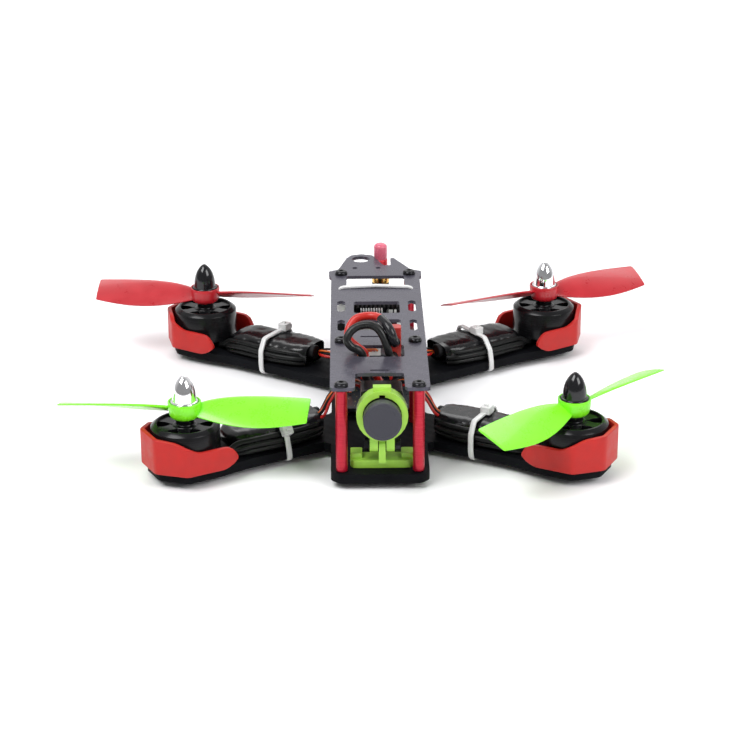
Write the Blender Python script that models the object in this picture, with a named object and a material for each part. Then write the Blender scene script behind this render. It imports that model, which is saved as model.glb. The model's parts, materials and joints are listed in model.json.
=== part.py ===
"""A racing quadcopter of the 210 mm class, with its nose towards -Y and its top towards +Z.

The origin is the centre of the four motor axes, on the underside of the main plate. Every
length and place below is in millimetres, and each mesh is scaled to metres as it is made.
Left and right are the aircraft's own: its left side is +X.
"""

import math

import bmesh
import bpy
from mathutils import Matrix, Vector

MM = 0.001
GAP = 0.2  # between pieces that touch
RUN = 0.3  # round pieces that turn or slide

# Frame
MOTOR_X = 79.1
MOTOR_Y = 68.8
PLATE_T = 4.0
BODY_HALF = 20.0
NOSE_Y = -85.5
TAIL_Y = 66.0
ARM_HALF = 12.8
ARM_END_R = 16.2
FRONT_ARM_DEG = 28.5
REAR_ARM_DEG = 32.4

# Upper deck
POST_H = 35.0
POST_R = 2.4
POST_X = 15.5
POST_YS = {"front": -81.4, "mid": -32.0, "rear": 53.5}
DECK_T = 1.5
DECK_Z = PLATE_T + GAP + POST_H + GAP
DECK_TOP = DECK_Z + DECK_T
SCREW_HEAD_R = 2.8

# Motor, propeller and nut, by height above the plate's underside
AXLE_R = 1.5
BELL_R = 14.2
BELL_WALL = 2.0
BELL_Z = 6.6
BELL_SIDE = 19.2
BELL_TOP = 20.6
COLLAR_R = 3.7
COLLAR_TOP = 22.4
HUB_Z = 22.7
HUB_SEAT = 28.9
HUB_TOP = 29.8
HUB_R = 6.8
HUB_FOOT_R = 4.6
HUB_RIM_T = 0.75
SHAFT_R = 2.4
SHAFT_TOP = 36.2
NUT_R = 5.65
NUT_TOP = 40.9
PROP_R = 50.6
BLADE_ROOT_DEG = 34.5
BLADE_TIP_DEG = 19.0
BLADE_Z = 26.2
BLADE_T = 1.3

# Guard round each motor
GUARD_T = 1.9
GUARD_Z = 3.7
GUARD_TAIL = -15.3

# Camera, in a frame whose origin is the tilt pivot. Distances ahead are along the lens
CAMERA_X = 0.8
PIVOT_Y = -79.0
PIVOT_Z = 14.3
CAMERA_TILT_DEG = 7.0
LENS_Z = 13.6
RING_R = 10.4
RING_BORE = 7.9
RING_FRONT = 6.4
RING_BACK = -1.4
STEM_HALF = 1.35
STEM_TOP_R = 2.7
EAR_R = 2.9
EAR_OUT = 5.0
PIVOT_HOLE_R = 1.75
CASE_HALF = 8.6
CASE_BACK = -17.5
LENS_R = 6.4
LENS_FRONT = 13.1
CAP_R = 7.7
CAP_BORE = 6.8
CAP_BACK = 8.5
CAP_FRONT = 15.0

# Strap round each arm, and where its head sits across the arm
STRAP_T = 1.1
STRAP_W = 2.4
STRAP_X = -40.0
STRAP_HEADS = {"front_left": -2.5, "front_right": 10.6, "rear_left": 2.0, "rear_right": -6.5}

# Boards between the plates
BOARD_T = 1.6
POWER_BOARD_Z = 6.2
FLIGHT_BOARD_Z = 17.0
SENDER_Z = 9.0
SENDER_TOP = 17.0
SINK_TOP = 27.5
RECEIVER_TOP = 34.0

# Aerial socket behind the deck's tail, and the cap over it
AERIAL_AT = (2.9, 80.3, 0)
FLANGE_R = 4.0
FLANGE_Z = 24.0
FLANGE_TOP = 31.0
SOCKET_R = 2.3
SOCKET_TOP = 38.0
AERIAL_CAP_R = 3.3
AERIAL_CAP_TOP = 46.9

FOOT_R = 6.4
FOOT_H = 3.0
LEAD_R = 1.7

# name of the corner: (side in X, side in Y, arm angle, turns left seen from above, prop angle, colour)
CORNERS = {
    "front_left": (1, -1, FRONT_ARM_DEG, False, 46.2, "lime"),
    "front_right": (-1, -1, FRONT_ARM_DEG, True, -7.1, "lime"),
    "rear_left": (1, 1, REAR_ARM_DEG, True, 21.0, "red"),
    "rear_right": (-1, 1, REAR_ARM_DEG, False, -4.6, "red"),
}

COLOURS = {
    "carbon": ((0.022, 0.023, 0.026), 0.42, 0.0),
    "deck": ((0.16, 0.15, 0.18), 0.38, 0.0),
    "anodised": ((0.60, 0.03, 0.06), 0.30, 0.9),
    "lime": ((0.27, 0.86, 0.03), 0.35, 0.0),
    "red": ((0.62, 0.03, 0.035), 0.38, 0.0),
    "guard": ((0.58, 0.035, 0.025), 0.50, 0.0),
    "mount": ((0.30, 0.65, 0.06), 0.45, 0.0),
    "black_metal": ((0.02, 0.02, 0.022), 0.30, 0.8),
    "silver": ((0.80, 0.80, 0.82), 0.12, 1.0),
    "steel": ((0.10, 0.10, 0.11), 0.35, 0.9),
    "black_plastic": ((0.018, 0.018, 0.02), 0.35, 0.0),
    "rubber": ((0.025, 0.025, 0.025), 0.70, 0.0),
    "nylon": ((0.80, 0.80, 0.78), 0.45, 0.0),
    "slate": ((0.075, 0.075, 0.10), 0.55, 0.0),
    "board": ((0.02, 0.03, 0.05), 0.45, 0.0),
    "cap_red": ((0.75, 0.08, 0.10), 0.35, 0.0),
    "copper": ((0.55, 0.27, 0.12), 0.35, 0.9),
    "white_plastic": ((0.82, 0.82, 0.80), 0.45, 0.0),
    "silicone_red": ((0.62, 0.03, 0.03), 0.45, 0.0),
    "silicone_black": ((0.02, 0.02, 0.02), 0.45, 0.0),
}


# Turns a prism about Z so that its length lies along X and its outline is (y, z)
ACROSS = Matrix(((0, 0, 1), (1, 0, 0), (0, 1, 0))).to_4x4()
# Turns a solid about Z so that its top faces the nose
AHEAD = Matrix.Rotation(math.radians(90), 4, "X")


def clear_scene():
    for old in list(bpy.data.objects):
        bpy.data.objects.remove(old, do_unlink=True)


def material(name):
    """The named finish, made once."""
    found = bpy.data.materials.get(name)
    if found:
        return found
    colour, roughness, metallic = COLOURS[name]
    made = bpy.data.materials.new(name)
    made.use_nodes = True
    shader = made.node_tree.nodes["Principled BSDF"]
    shader.inputs["Base Color"].default_value = (*colour, 1)
    shader.inputs["Roughness"].default_value = roughness
    shader.inputs["Metallic"].default_value = metallic
    return made


def finish(name, bm, colour, parent=None, at=(0, 0, 0), helper=False):
    """Turns a bmesh in millimetres into an object in metres. A helper only cuts or joins."""
    bmesh.ops.recalc_face_normals(bm, faces=bm.faces)
    bmesh.ops.scale(bm, vec=(MM, MM, MM), verts=bm.verts)
    mesh = bpy.data.meshes.new(name)
    bm.to_mesh(mesh)
    bm.free()
    mesh.shade_smooth()
    mesh.set_sharp_from_angle(angle=math.radians(35))
    mesh.materials.append(material(colour))
    obj = bpy.data.objects.new(name, mesh)
    bpy.context.scene.collection.objects.link(obj)
    obj.parent = parent
    obj.location = Vector(at) * MM
    if helper:
        obj.hide_render = True
        obj.display_type = "WIRE"
    return obj


def axis_empty(name, at, parent=None, rotation=(0, 0, 0)):
    """An empty on a joint's axis, which the moving pieces hang from."""
    empty = bpy.data.objects.new(name, None)
    bpy.context.scene.collection.objects.link(empty)
    empty.parent = parent
    empty.location = Vector(at) * MM
    empty.rotation_euler = rotation
    return empty


def apply_boolean(obj, helper, operation, solver="EXACT"):
    modifier = obj.modifiers.new(helper.name, "BOOLEAN")
    modifier.operation = operation
    modifier.object = helper
    modifier.solver = solver
    helper.parent = obj.parent
    return obj


def cut(obj, bm, at=(0, 0, 0)):
    helper = finish(f"{obj.name}_cut{len(obj.modifiers)}", bm, "steel", helper=True, at=at)
    return apply_boolean(obj, helper, "DIFFERENCE")


def join(obj, bm, at=(0, 0, 0), solver="EXACT"):
    helper = finish(f"{obj.name}_add{len(obj.modifiers)}", bm, "steel", helper=True, at=at)
    return apply_boolean(obj, helper, "UNION", solver)


def add_prism(bm, outline, low, high):
    """A prism over an outline of (x, y) points, from z = low to z = high."""
    floor = [bm.verts.new((x, y, low)) for x, y in outline]
    roof = [bm.verts.new((x, y, high)) for x, y in outline]
    bm.faces.new(floor)
    bm.faces.new(roof)
    for i in range(len(floor)):
        j = (i + 1) % len(floor)
        bm.faces.new((floor[i], floor[j], roof[j], roof[i]))
    return bm


def prism(outline, low, high):
    return add_prism(bmesh.new(), outline, low, high)


def circle(radius, count=24, x=0.0, y=0.0, start=0.0):
    turns = [start + 2 * math.pi * i / count for i in range(count)]
    return [(x + radius * math.cos(a), y + radius * math.sin(a)) for a in turns]


def box_outline(x0, x1, y0, y1):
    return [(x0, y0), (x1, y0), (x1, y1), (x0, y1)]


def rounded(outline, radius, steps=3):
    """The outline with each corner turned into an arc of the radius, or less where a side is short."""
    smooth = []
    for i, corner in enumerate(outline):
        here = Vector(corner)
        before = Vector(outline[i - 1]) - here
        after = Vector(outline[(i + 1) % len(outline)]) - here
        angle = before.angle(after)
        if angle > math.radians(172):
            smooth.append(corner)
            continue
        reach = min(radius / math.tan(angle / 2), before.length * 0.48, after.length * 0.48)
        start = here + before.normalized() * reach
        end = here + after.normalized() * reach
        for k in range(steps + 1):
            t = k / steps
            point = start * (1 - t) ** 2 + here * 2 * t * (1 - t) + end * t**2
            smooth.append(tuple(point))
    return smooth


def turned(profile, count=24):
    """A solid of revolution about Z. The profile is (radius, height) points, bottom to top.

    A point at radius 0 closes an end. A profile that never reaches the axis is a ring, and
    its last point joins its first.
    """
    bm = bmesh.new()
    rows = []
    for radius, height in profile:
        if radius == 0:
            rows.append([bm.verts.new((0, 0, height))])
        else:
            rows.append([bm.verts.new((x, y, height)) for x, y in circle(radius, count)])
    ring = profile[0][0] > 0 and profile[-1][0] > 0
    pairs = list(zip(rows, rows[1:]))
    if ring:
        pairs.append((rows[-1], rows[0]))
    for low, high in pairs:
        for i in range(count):
            j = (i + 1) % count
            corners = [low[i % len(low)], low[j % len(low)], high[j % len(high)], high[i % len(high)]]
            bm.faces.new(list(dict.fromkeys(corners)))
    return bm


def loft(sections):
    """A closed solid through equal loops of points, with flat ends."""
    bm = bmesh.new()
    loops = [[bm.verts.new(point) for point in section] for section in sections]
    bm.faces.new(loops[0])
    bm.faces.new(loops[-1])
    for one, two in zip(loops, loops[1:]):
        for i in range(len(one)):
            j = (i + 1) % len(one)
            bm.faces.new((one[i], one[j], two[j], two[i]))
    return bm


def placed(bm, matrix):
    bmesh.ops.transform(bm, matrix=matrix, verts=bm.verts)
    return bm


def smooth_route(points, step):
    """Points about a step apart on a smooth curve through the given ones."""
    ends = [points[0] * 2 - points[1], *points, points[-1] * 2 - points[-2]]
    route = [points[0]]
    for a, b, c, d in zip(ends, ends[1:], ends[2:], ends[3:]):
        count = max(1, round((c - b).length / step))
        for k in range(1, count + 1):
            t = k / count
            route.append(
                0.5
                * (
                    2 * b
                    + (c - a) * t
                    + (2 * a - 5 * b + 4 * c - d) * t**2
                    + (3 * b - a - 3 * c + d) * t**3
                )
            )
    return route


def tube(points, radius, count=8, flat=1.0, step=4.0):
    """A closed tube along a smooth route. Flat squashes its height."""
    route = smooth_route([Vector(p) for p in points], step)
    sections = []
    for i, here in enumerate(route):
        ahead = route[min(i + 1, len(route) - 1)] - route[max(i - 1, 0)]
        side = ahead.cross(Vector((0, 0, 1)))
        side = side.normalized() if side.length > 1e-6 else Vector((1, 0, 0))
        up = side.cross(ahead).normalized()
        sections.append(
            [here + side * (radius * x) + up * (radius * flat * y) for x, y in circle(1, count)]
        )
    return loft(sections)


def arm_matrix(corner):
    """From a corner's own frame to the aircraft's: +X runs outwards along the arm, the origin is the
    motor axis, and +Y is the side that faces the nose."""
    side_x, side_y, degrees, *_ = CORNERS[corner]
    angle = math.radians(degrees)
    out = Vector((side_x * math.cos(angle), side_y * math.sin(angle), 0))
    nose = Vector((side_x * side_y * math.sin(angle), -math.cos(angle), 0))
    turn = Matrix((out, nose, Vector((0, 0, 1)))).transposed().to_4x4()
    return Matrix.Translation((side_x * MOTOR_X, side_y * MOTOR_Y, 0)) @ turn


def motor_at(corner):
    side_x, side_y, *_ = CORNERS[corner]
    return (side_x * MOTOR_X, side_y * MOTOR_Y, 0)


def arm_end(offset=0.0):
    """Half of the octagon at the arm's end, from its tip to the arm's side, in the corner's frame."""
    radius = ARM_END_R + offset / math.cos(math.radians(22.5))
    turns = [math.radians(22.5 + 45 * k) for k in range(3)]
    return [(radius * math.cos(a), radius * math.sin(a)) for a in turns]


def main_plate():
    outline = [(16.5, NOSE_Y), (BODY_HALF, NOSE_Y + 3.5)]
    for corner in ("front_left", "rear_left"):
        matrix = arm_matrix(corner)
        tip = arm_end()
        nose_side = [(-24.0, ARM_HALF), *reversed(tip)]
        points = nose_side + [(x, -y) for x, y in reversed(nose_side)]
        placed_points = [(matrix @ Vector((x, y, 0))).to_2d() for x, y in points]
        slope = (placed_points[0] - (matrix @ Vector((-80, ARM_HALF, 0))).to_2d()).normalized()
        root = placed_points[0] - slope * ((placed_points[0].x - BODY_HALF) / slope.x)
        far_root = placed_points[-1] - slope * ((placed_points[-1].x - BODY_HALF) / slope.x)
        outline += [tuple(root), *[tuple(p) for p in placed_points], tuple(far_root)]
    outline += [(BODY_HALF, TAIL_Y - 6), (14.0, TAIL_Y)]
    whole = outline + [(-x, y) for x, y in reversed(outline)]
    plate = finish("main_plate", prism(rounded(whole, 2.0, 1), 0, PLATE_T), "carbon")
    holes = bmesh.new()
    for side in (-1, 1):
        for y in POST_YS.values():
            add_prism(holes, circle(1.75, 8, side * POST_X, y), -1, PLATE_T + 1)
        slot = box_outline(side * 11.5 - 1.6, side * 11.5 + 1.6, 20, 35)
        add_prism(holes, rounded(slot, 1.4, 1), -1, PLATE_T + 1)
    return cut(plate, holes)


def top_plate():
    right_tail = [(21.0, 50.5), (21.2, 57.3), (16.3, 60.0), (8.8, 76.5), (7.4, 75.8), (7.5, 65.7)]
    left_tail = [(4.0, 65.7), (-0.9, 80.1), (-6.1, 81.9), (-10.8, 80.2), (-13.1, 75.8), (-16.8, 60.2)]
    nose = [(-20.0, -83.5), (-10.0, -83.5), (-9.8, -67.8), (9.8, -67.8), (10.0, -83.5), (20.0, -83.5)]
    sides = [(20.1, 50.0), *right_tail, *left_tail, (-21.2, 57.3), (-21.0, 50.5), (-20.1, 50.0)]
    deck = finish("top_plate", prism(rounded(nose + sides, 0.9, 1), DECK_Z, DECK_TOP), "deck")
    holes = bmesh.new()

    def window(outline, radius):
        add_prism(holes, rounded(outline, radius, 1), DECK_Z - 1, DECK_TOP + 1)

    def hole(x, y, radius, count=6):
        add_prism(holes, circle(radius, count, x, y), DECK_Z - 1, DECK_TOP + 1)

    for side in (-1, 1):
        window(box_outline(side * 15.5 - 1.7, side * 15.5 + 1.7, 3.8, 17.8), 1.5)
        window(box_outline(side * 15.5 - 1.6, side * 15.5 + 1.6, -19.6, -6.2), 1.4)
        window(box_outline(side * 15.8 - 0.8, side * 15.8 + 0.8, 32.3, 35.3), 0.4)
        for y in POST_YS.values():
            hole(side * POST_X, y, 1.75, 8)
    window(box_outline(-10.0, 10.1, 2.0, 16.7), 0.8)
    window(box_outline(-10.0, 10.1, -18.9, -6.0), 0.8)
    window(box_outline(-8.8, 10.6, -49.8, -36.6), 0.8)
    window(box_outline(-7.5, 7.5, -27.2, -25.8), 0.5)
    window(box_outline(-3.9, 3.9, -65.3, -64.1), 0.4)
    window([(-13.1, 51.0), (-13.1, 39.5), (-14.6, 36.9), (14.6, 36.9), (13.1, 39.5), (13.1, 51.0)], 0.9)
    hole(-6.4, 74.4, 4.2, 16)
    hole(-9.2, 62.0, 1.25, 8)
    hole(1.5, 62.0, 1.25, 8)
    return cut(deck, holes)


def posts_and_screws():
    foot_z = PLATE_T + GAP
    top_z = foot_z + POST_H
    for row, y in POST_YS.items():
        for side, word in ((1, "left"), (-1, "right")):
            at = (side * POST_X, y, 0)
            tube_profile = [(1.65, foot_z), (POST_R, foot_z), (POST_R, top_z), (1.65, top_z)]
            finish(f"standoff_{row}_{word}", turned(tube_profile, 12), "anodised", at=at)
            under = DECK_TOP + GAP
            head = [
                (0, under - 8.0),
                (1.35, under - 8.0),
                (1.35, under),
                (SCREW_HEAD_R, under),
                (SCREW_HEAD_R - 0.1, under + 0.6),
                (1.2, under + 1.65),
                (0, under + 1.65),
            ]
            finish(f"deck_screw_{row}_{word}", turned(head, 12), "steel", at=at)


def guard_top(x):
    """Height of a guard's upper edge, by distance out from the motor axis."""
    rise = min(1.0, max(0.0, x / 11.5))
    fall = max(0.0, (-9.0 - x) / 6.3)
    return 13.3 + 4.9 * rise * rise * (3.0 - 2.0 * rise) + 0.15 * max(0.0, x - 11.5) - 4.5 * fall**3


def guard(corner):
    """A band round the arm's end, open towards the body, high at its outer end."""
    tip = arm_end(0.3)
    tail = [(GUARD_TAIL, 14.9), (-13.0, 15.3)]
    inner = [*tail, *reversed(tip)]
    inner += [(x, -y) for x, y in reversed(inner)]
    path = []
    for one, two in zip(inner, inner[1:]):
        a, b = Vector(one), Vector(two)
        count = max(1, round((b - a).length / 3.0))
        path += [a.lerp(b, k / count) for k in range(count)]
    path.append(Vector(inner[-1]))
    sections = []
    for i, here in enumerate(path):
        back = (here - path[i - 1]).normalized() if i else (path[1] - here).normalized()
        ahead = (path[i + 1] - here).normalized() if i + 1 < len(path) else back
        along = (back + ahead).normalized()
        outward = Vector((-along.y, along.x)) if along.length else Vector((0, 1))
        reach = GUARD_T / max(0.7, outward.dot(Vector((-ahead.y, ahead.x))))
        outer = here + outward * reach
        lift = 3.6 * max(0.0, (-8.0 - here.x) / 7.3) ** 2
        high = guard_top(here.x)
        low = GUARD_Z + lift
        sections.append([(p.x, p.y, z) for p, z in ((here, low), (outer, low), (outer, high), (here, high))])
    finish(f"motor_guard_{corner}", placed(loft(sections), arm_matrix(corner)), "guard")


def stator(corner):
    """The motor's fixed base, bearing tube and toothed core, in one solid."""
    low = PLATE_T + GAP
    base = [(0, low), (10.4, low), (10.4, 6.0), (4.0, 6.4), (4.0, 17.2), (0, 17.2)]
    body = finish(f"motor_stator_{corner}", turned(base, 16), "copper", at=motor_at(corner))
    teeth = []
    for k in range(9):
        for shift, radius in ((-14, 11.4), (14, 11.4), (17, 8.2), (23, 8.2)):
            angle = math.radians(40 * k + shift)
            teeth.append((radius * math.cos(angle), radius * math.sin(angle)))
    join(body, prism(teeth, 7.6, 15.6), at=motor_at(corner))
    cut(body, prism(circle(AXLE_R + RUN, 12), low - 1, 18.0), at=motor_at(corner))


def bell(corner, axis):
    """The turning can, with its spokes, shaft and propeller collar."""
    inner = BELL_R - BELL_WALL
    ceiling = BELL_TOP - 2.4
    can = [
        (0, 4.6),
        (AXLE_R, 4.6),
        (AXLE_R, ceiling),
        (inner, ceiling),
        (inner, BELL_Z),
        (BELL_R, BELL_Z),
        (BELL_R, BELL_SIDE),
        (inner + 0.2, BELL_TOP),
        (COLLAR_R, BELL_TOP),
        (COLLAR_R, COLLAR_TOP),
        (SHAFT_R, COLLAR_TOP),
        (SHAFT_R, SHAFT_TOP),
        (0, SHAFT_TOP),
    ]
    body = finish(f"motor_bell_{corner}", turned(can, 20), "black_metal", parent=axis)
    windows = bmesh.new()
    for k in range(6):
        outline = []
        for radius, half in ((6.0, 17), (10.8, 21)):
            for s in (-1, 1) if radius < 8 else (1, -1):
                angle = math.radians(60 * k + s * half)
                outline.append((radius * math.cos(angle), radius * math.sin(angle)))
        add_prism(windows, outline, ceiling - 1, BELL_TOP + 1)
    cut(body, windows)


def blade_section(radius, spin):
    """The blade's airfoil at a radius, as points in a frame whose +X is outwards."""
    ahead = 9.3 * (1.0 - math.exp(-radius / 13.0))
    behind = 3.2 + 5.3 * math.sin(math.pi * (radius - 4.0) / 54.0)
    angle = math.radians(BLADE_ROOT_DEG + (BLADE_TIP_DEG - BLADE_ROOT_DEG) * radius / PROP_R)
    thick = BLADE_T * (1.25 - 0.5 * radius / PROP_R)
    shape = [(0.0, 0.0), (0.25, 0.72), (0.7, 0.5), (1.0, 0.0), (0.5, -0.15)]
    points = []
    for along, up in shape:
        forward = ahead - along * (ahead + behind)
        y = forward * math.cos(angle) - up * thick * math.sin(angle)
        z = forward * math.sin(angle) + up * thick * math.cos(angle)
        points.append((radius, spin * y, BLADE_Z + z))
    return points


def propeller(corner, axis):
    _, _, _, turns_left, degrees, colour = CORNERS[corner]
    bore = SHAFT_R + RUN
    hub_profile = [
        (bore, HUB_Z),
        (HUB_FOOT_R, HUB_Z),
        (HUB_R - 0.7, HUB_Z + 1.5),
        (HUB_R - 0.2, HUB_Z + 3.2),
        (HUB_R, HUB_TOP),
        (HUB_R - HUB_RIM_T, HUB_TOP),
        (HUB_R - HUB_RIM_T, HUB_SEAT),
        (bore, HUB_SEAT),
    ]
    body = finish(f"propeller_{corner}", turned(hub_profile, 20), colour, parent=axis)
    body.rotation_euler.z = math.radians(degrees)
    spin = 1 if turns_left else -1
    radii = [4.4, 9.0, 15.0, 22.0, 30.0, 40.0, PROP_R]
    for flip in (0, math.pi):
        blade = loft([blade_section(r, spin) for r in radii])
        placed(blade, Matrix.Rotation(flip, 4, "Z"))
        join(body, blade)
        body.modifiers[-1].object.rotation_euler.z = math.radians(degrees)


def prop_nut(corner, axis):
    colour = "silver" if CORNERS[corner][3] else "steel"
    low = HUB_SEAT + GAP
    dome = []
    for k in range(5):
        t = k / 4
        dome.append((4.8 * (1 - t**2.1) + 0.9 * t, low + 1.5 + (NUT_TOP - low - 1.9) * t))
    bore = SHAFT_R + RUN
    end = SHAFT_TOP + 0.5
    profile = [(0, end), (bore, end), (bore, low), (NUT_R, low), (NUT_R, low + 1.0), *dome, (0, NUT_TOP)]
    finish(f"prop_nut_{corner}", turned(profile, 16), colour, parent=axis)


def pack_section(x, y, z, half_wide, half_high):
    """A rounded rectangle across the arm, as a loop of points."""
    corner = min(half_wide, half_high) * 0.75
    flat = rounded(box_outline(-half_wide, half_wide, -half_high, half_high), corner, 1)
    return [(x, y + a, z + b) for a, b in flat]


def speed_controller(corner):
    """A controller in heat-shrink on the arm, with its motor wires and its feed into the body."""
    matrix = arm_matrix(corner)
    middle = PLATE_T + GAP + 4.8
    stations = [(-18, 5.5, 2.6), (-21, 9.2, 4.3), (-26, 9.8, 4.7), (-52, 9.8, 4.7), (-58, 9.0, 4.6)]
    stations += [(-63, 6.4, 3.8)]
    pack = loft([pack_section(x, -1.0, middle, half, high) for x, half, high in stations])
    body = finish(f"speed_controller_{corner}", placed(pack, matrix), "black_plastic")
    motor_wires = [
        (-11.6, 3.0, 5.15, 2.6, 0.8),
        (-15.0, 7.0, 5.4, 2.4, 1.0),
        (-20.0, 9.3, 6.4, 1.8, 1.9),
        (-30.0, 9.8, 7.0, 1.8, 2.5),
        (-50.0, 9.6, 7.0, 1.8, 2.5),
        (-58.0, 7.4, 7.4, 1.4, 2.2),
    ]
    phase = loft([pack_section(*station) for station in motor_wires])
    join(body, placed(phase, matrix), solver="MANIFOLD")
    start = matrix @ Vector((-60.0, 0.0, 10.0))
    side_x, side_y, *_ = CORNERS[corner]
    if side_y < 0:
        feed = [start, (side_x * 22.5, -42.5, 13.5), (side_x * 18.5, -40.5, 21.0)]
        feed += [(side_x * 12.5, -38.5, 23.5), (side_x * 6.5, -33.0, 19.0)]
    else:
        feed = [start, (side_x * 22.0, 31.5, 9.6), (side_x * 16.0, 29.0, 9.8), (side_x * 10.5, 26.0, 9.4)]
    join(body, tube(feed, 2.0, 6, 0.8, 6.0), solver="MANIFOLD")


def offset_outline(outline, grow):
    """The outline, listed anticlockwise, moved outwards by an equal distance on every side."""
    moved = []
    for i, corner in enumerate(outline):
        here = Vector(corner)
        back = (here - Vector(outline[i - 1])).normalized()
        ahead = (Vector(outline[(i + 1) % len(outline)]) - here).normalized()
        out_back = Vector((back.y, -back.x))
        out_ahead = Vector((ahead.y, -ahead.x))
        middle = (out_back + out_ahead).normalized()
        moved.append(tuple(here + middle * (grow / middle.dot(out_ahead))))
    return moved


def zip_tie(corner):
    """A nylon strap round the arm and its controller, with its head on top or on the nose side."""
    side = ARM_HALF + GAP
    top = PLATE_T + 2 * GAP + 9.9
    inner = [(-side, -GAP), (side, -GAP), (side, 4.4), (12.3, 9.6), (8.8, top), (-9.8, top), (-11.8, 10.4)]
    inner += [(-side, 4.4)]
    outer = offset_outline(inner, STRAP_T)
    bm = bmesh.new()
    loops = []
    for x in (-STRAP_W / 2, STRAP_W / 2):
        for shape in (inner, outer):
            loops.append([bm.verts.new((x, y, z)) for y, z in shape])
    inner_a, outer_a, inner_b, outer_b = loops
    for one, two in ((inner_a, outer_a), (outer_a, outer_b), (outer_b, inner_b), (inner_b, inner_a)):
        for i in range(len(one)):
            j = (i + 1) % len(one)
            bm.faces.new((one[i], one[j], two[j], two[i]))
    matrix = arm_matrix(corner) @ Matrix.Translation((STRAP_X, 0, 0))
    strap = finish(f"zip_tie_{corner}", placed(bm, matrix), "nylon")
    head_y = STRAP_HEADS[corner]
    head = prism(rounded(box_outline(-2.6, 2.6, -2.7, 2.7), 0.5, 1), 0.3, 4.2)
    on_slope = Matrix.Translation((0, 10.6, 12.0)) @ Matrix.Rotation(math.radians(-53), 4, "X")
    on_top = Matrix.Translation((0, head_y, top))
    placed(head, on_slope if head_y > 8 else on_top)
    join(strap, placed(head, matrix))


def foot(corner):
    profile = [(0, -FOOT_H), (FOOT_R, -FOOT_H), (FOOT_R, -GAP), (0, -GAP)]
    finish(f"rubber_foot_{corner}", turned(profile, 16), "rubber", at=motor_at(corner))


def pillars(bm, xs, ys, radius, low, high):
    for x in xs:
        for y in ys:
            add_prism(bm, circle(radius, 8, x, y), low, high)
    return bm


def electronics():
    """The boards between the two plates."""
    low = PLATE_T + GAP
    top = POWER_BOARD_Z + BOARD_T
    outline = rounded(box_outline(-18, 18, -26, 10), 2, 2)
    board = finish("power_board", prism(outline, POWER_BOARD_Z, top), "board")
    pads = pillars(bmesh.new(), (-14.5, 14.5), (-22.5, 6.5), 2.6, low, POWER_BOARD_Z + 0.4)
    add_prism(pads, box_outline(-6, 6, -24.5, -20.5), top - 0.4, top + 1.4)
    join(board, pads)

    top = FLIGHT_BOARD_Z + BOARD_T
    outline = rounded(box_outline(-17.5, 17.5, 8, 43), 2, 2)
    stack = finish("flight_controller", prism(outline, FLIGHT_BOARD_Z, top), "board")
    parts = bmesh.new()
    for outline, height in (
        ((-6.9, 3.1, 39.4, 42.6), 9.4),
        ((-3.2, 1.4, 8.2, 11.8), 4.8),
        ((-5.0, 5.0, 20.0, 30.0), 1.4),
        ((11.5, 16.5, 25.0, 35.0), 3.4),
    ):
        add_prism(parts, box_outline(*outline), top - 0.4, top + height)
    join(stack, parts)
    join(stack, pillars(bmesh.new(), (-14.5, 14.5), (13.0, 39.5), 2.4, low, FLIGHT_BOARD_Z + 0.4))

    outline = rounded(box_outline(-10.5, 9.5, 47, 71), 1.5, 2)
    sender = finish("video_transmitter", prism(outline, SENDER_Z, SENDER_TOP), "black_plastic")
    join(sender, prism(box_outline(-9.0, 8.0, 50, 64), low, SENDER_Z + 0.4))
    join(sender, prism(box_outline(-12.2, 11.2, 45.6, 50.4), SENDER_Z, SINK_TOP))
    join(sender, prism(box_outline(-0.7, 6.5, 70.0, 83.9), SENDER_Z + 1.0, SENDER_TOP - 0.6))
    socket = [
        (0, SENDER_TOP - 1.0),
        (3.6, SENDER_TOP - 1.0),
        (3.6, FLANGE_Z),
        (FLANGE_R, FLANGE_Z),
        (FLANGE_R, FLANGE_TOP),
        (SOCKET_R, FLANGE_TOP),
        (SOCKET_R, SOCKET_TOP),
        (0, SOCKET_TOP),
    ]
    join(sender, turned(socket, 12), at=AERIAL_AT)

    outline = rounded(box_outline(-19.2, -13.2, 31.0, 50.6), 0.8, 1)
    stands_on = FLIGHT_BOARD_Z + BOARD_T + GAP
    finish("radio_receiver", prism(outline, stands_on, RECEIVER_TOP), "white_plastic")


def antenna_cap():
    """A soft cap over the aerial socket. It lifts off along the socket."""
    bore = SOCKET_R + RUN
    cup = [
        (0, SOCKET_TOP + RUN),
        (bore, SOCKET_TOP + RUN),
        (bore, FLANGE_TOP + RUN),
        (AERIAL_CAP_R, FLANGE_TOP + RUN),
        (AERIAL_CAP_R, AERIAL_CAP_TOP - 1.3),
        (AERIAL_CAP_R - 0.85, AERIAL_CAP_TOP),
        (0, AERIAL_CAP_TOP),
    ]
    finish("antenna_cap", turned(cup, 16), "cap_red", parent=axis_empty("antenna_cap_axis", AERIAL_AT))


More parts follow.
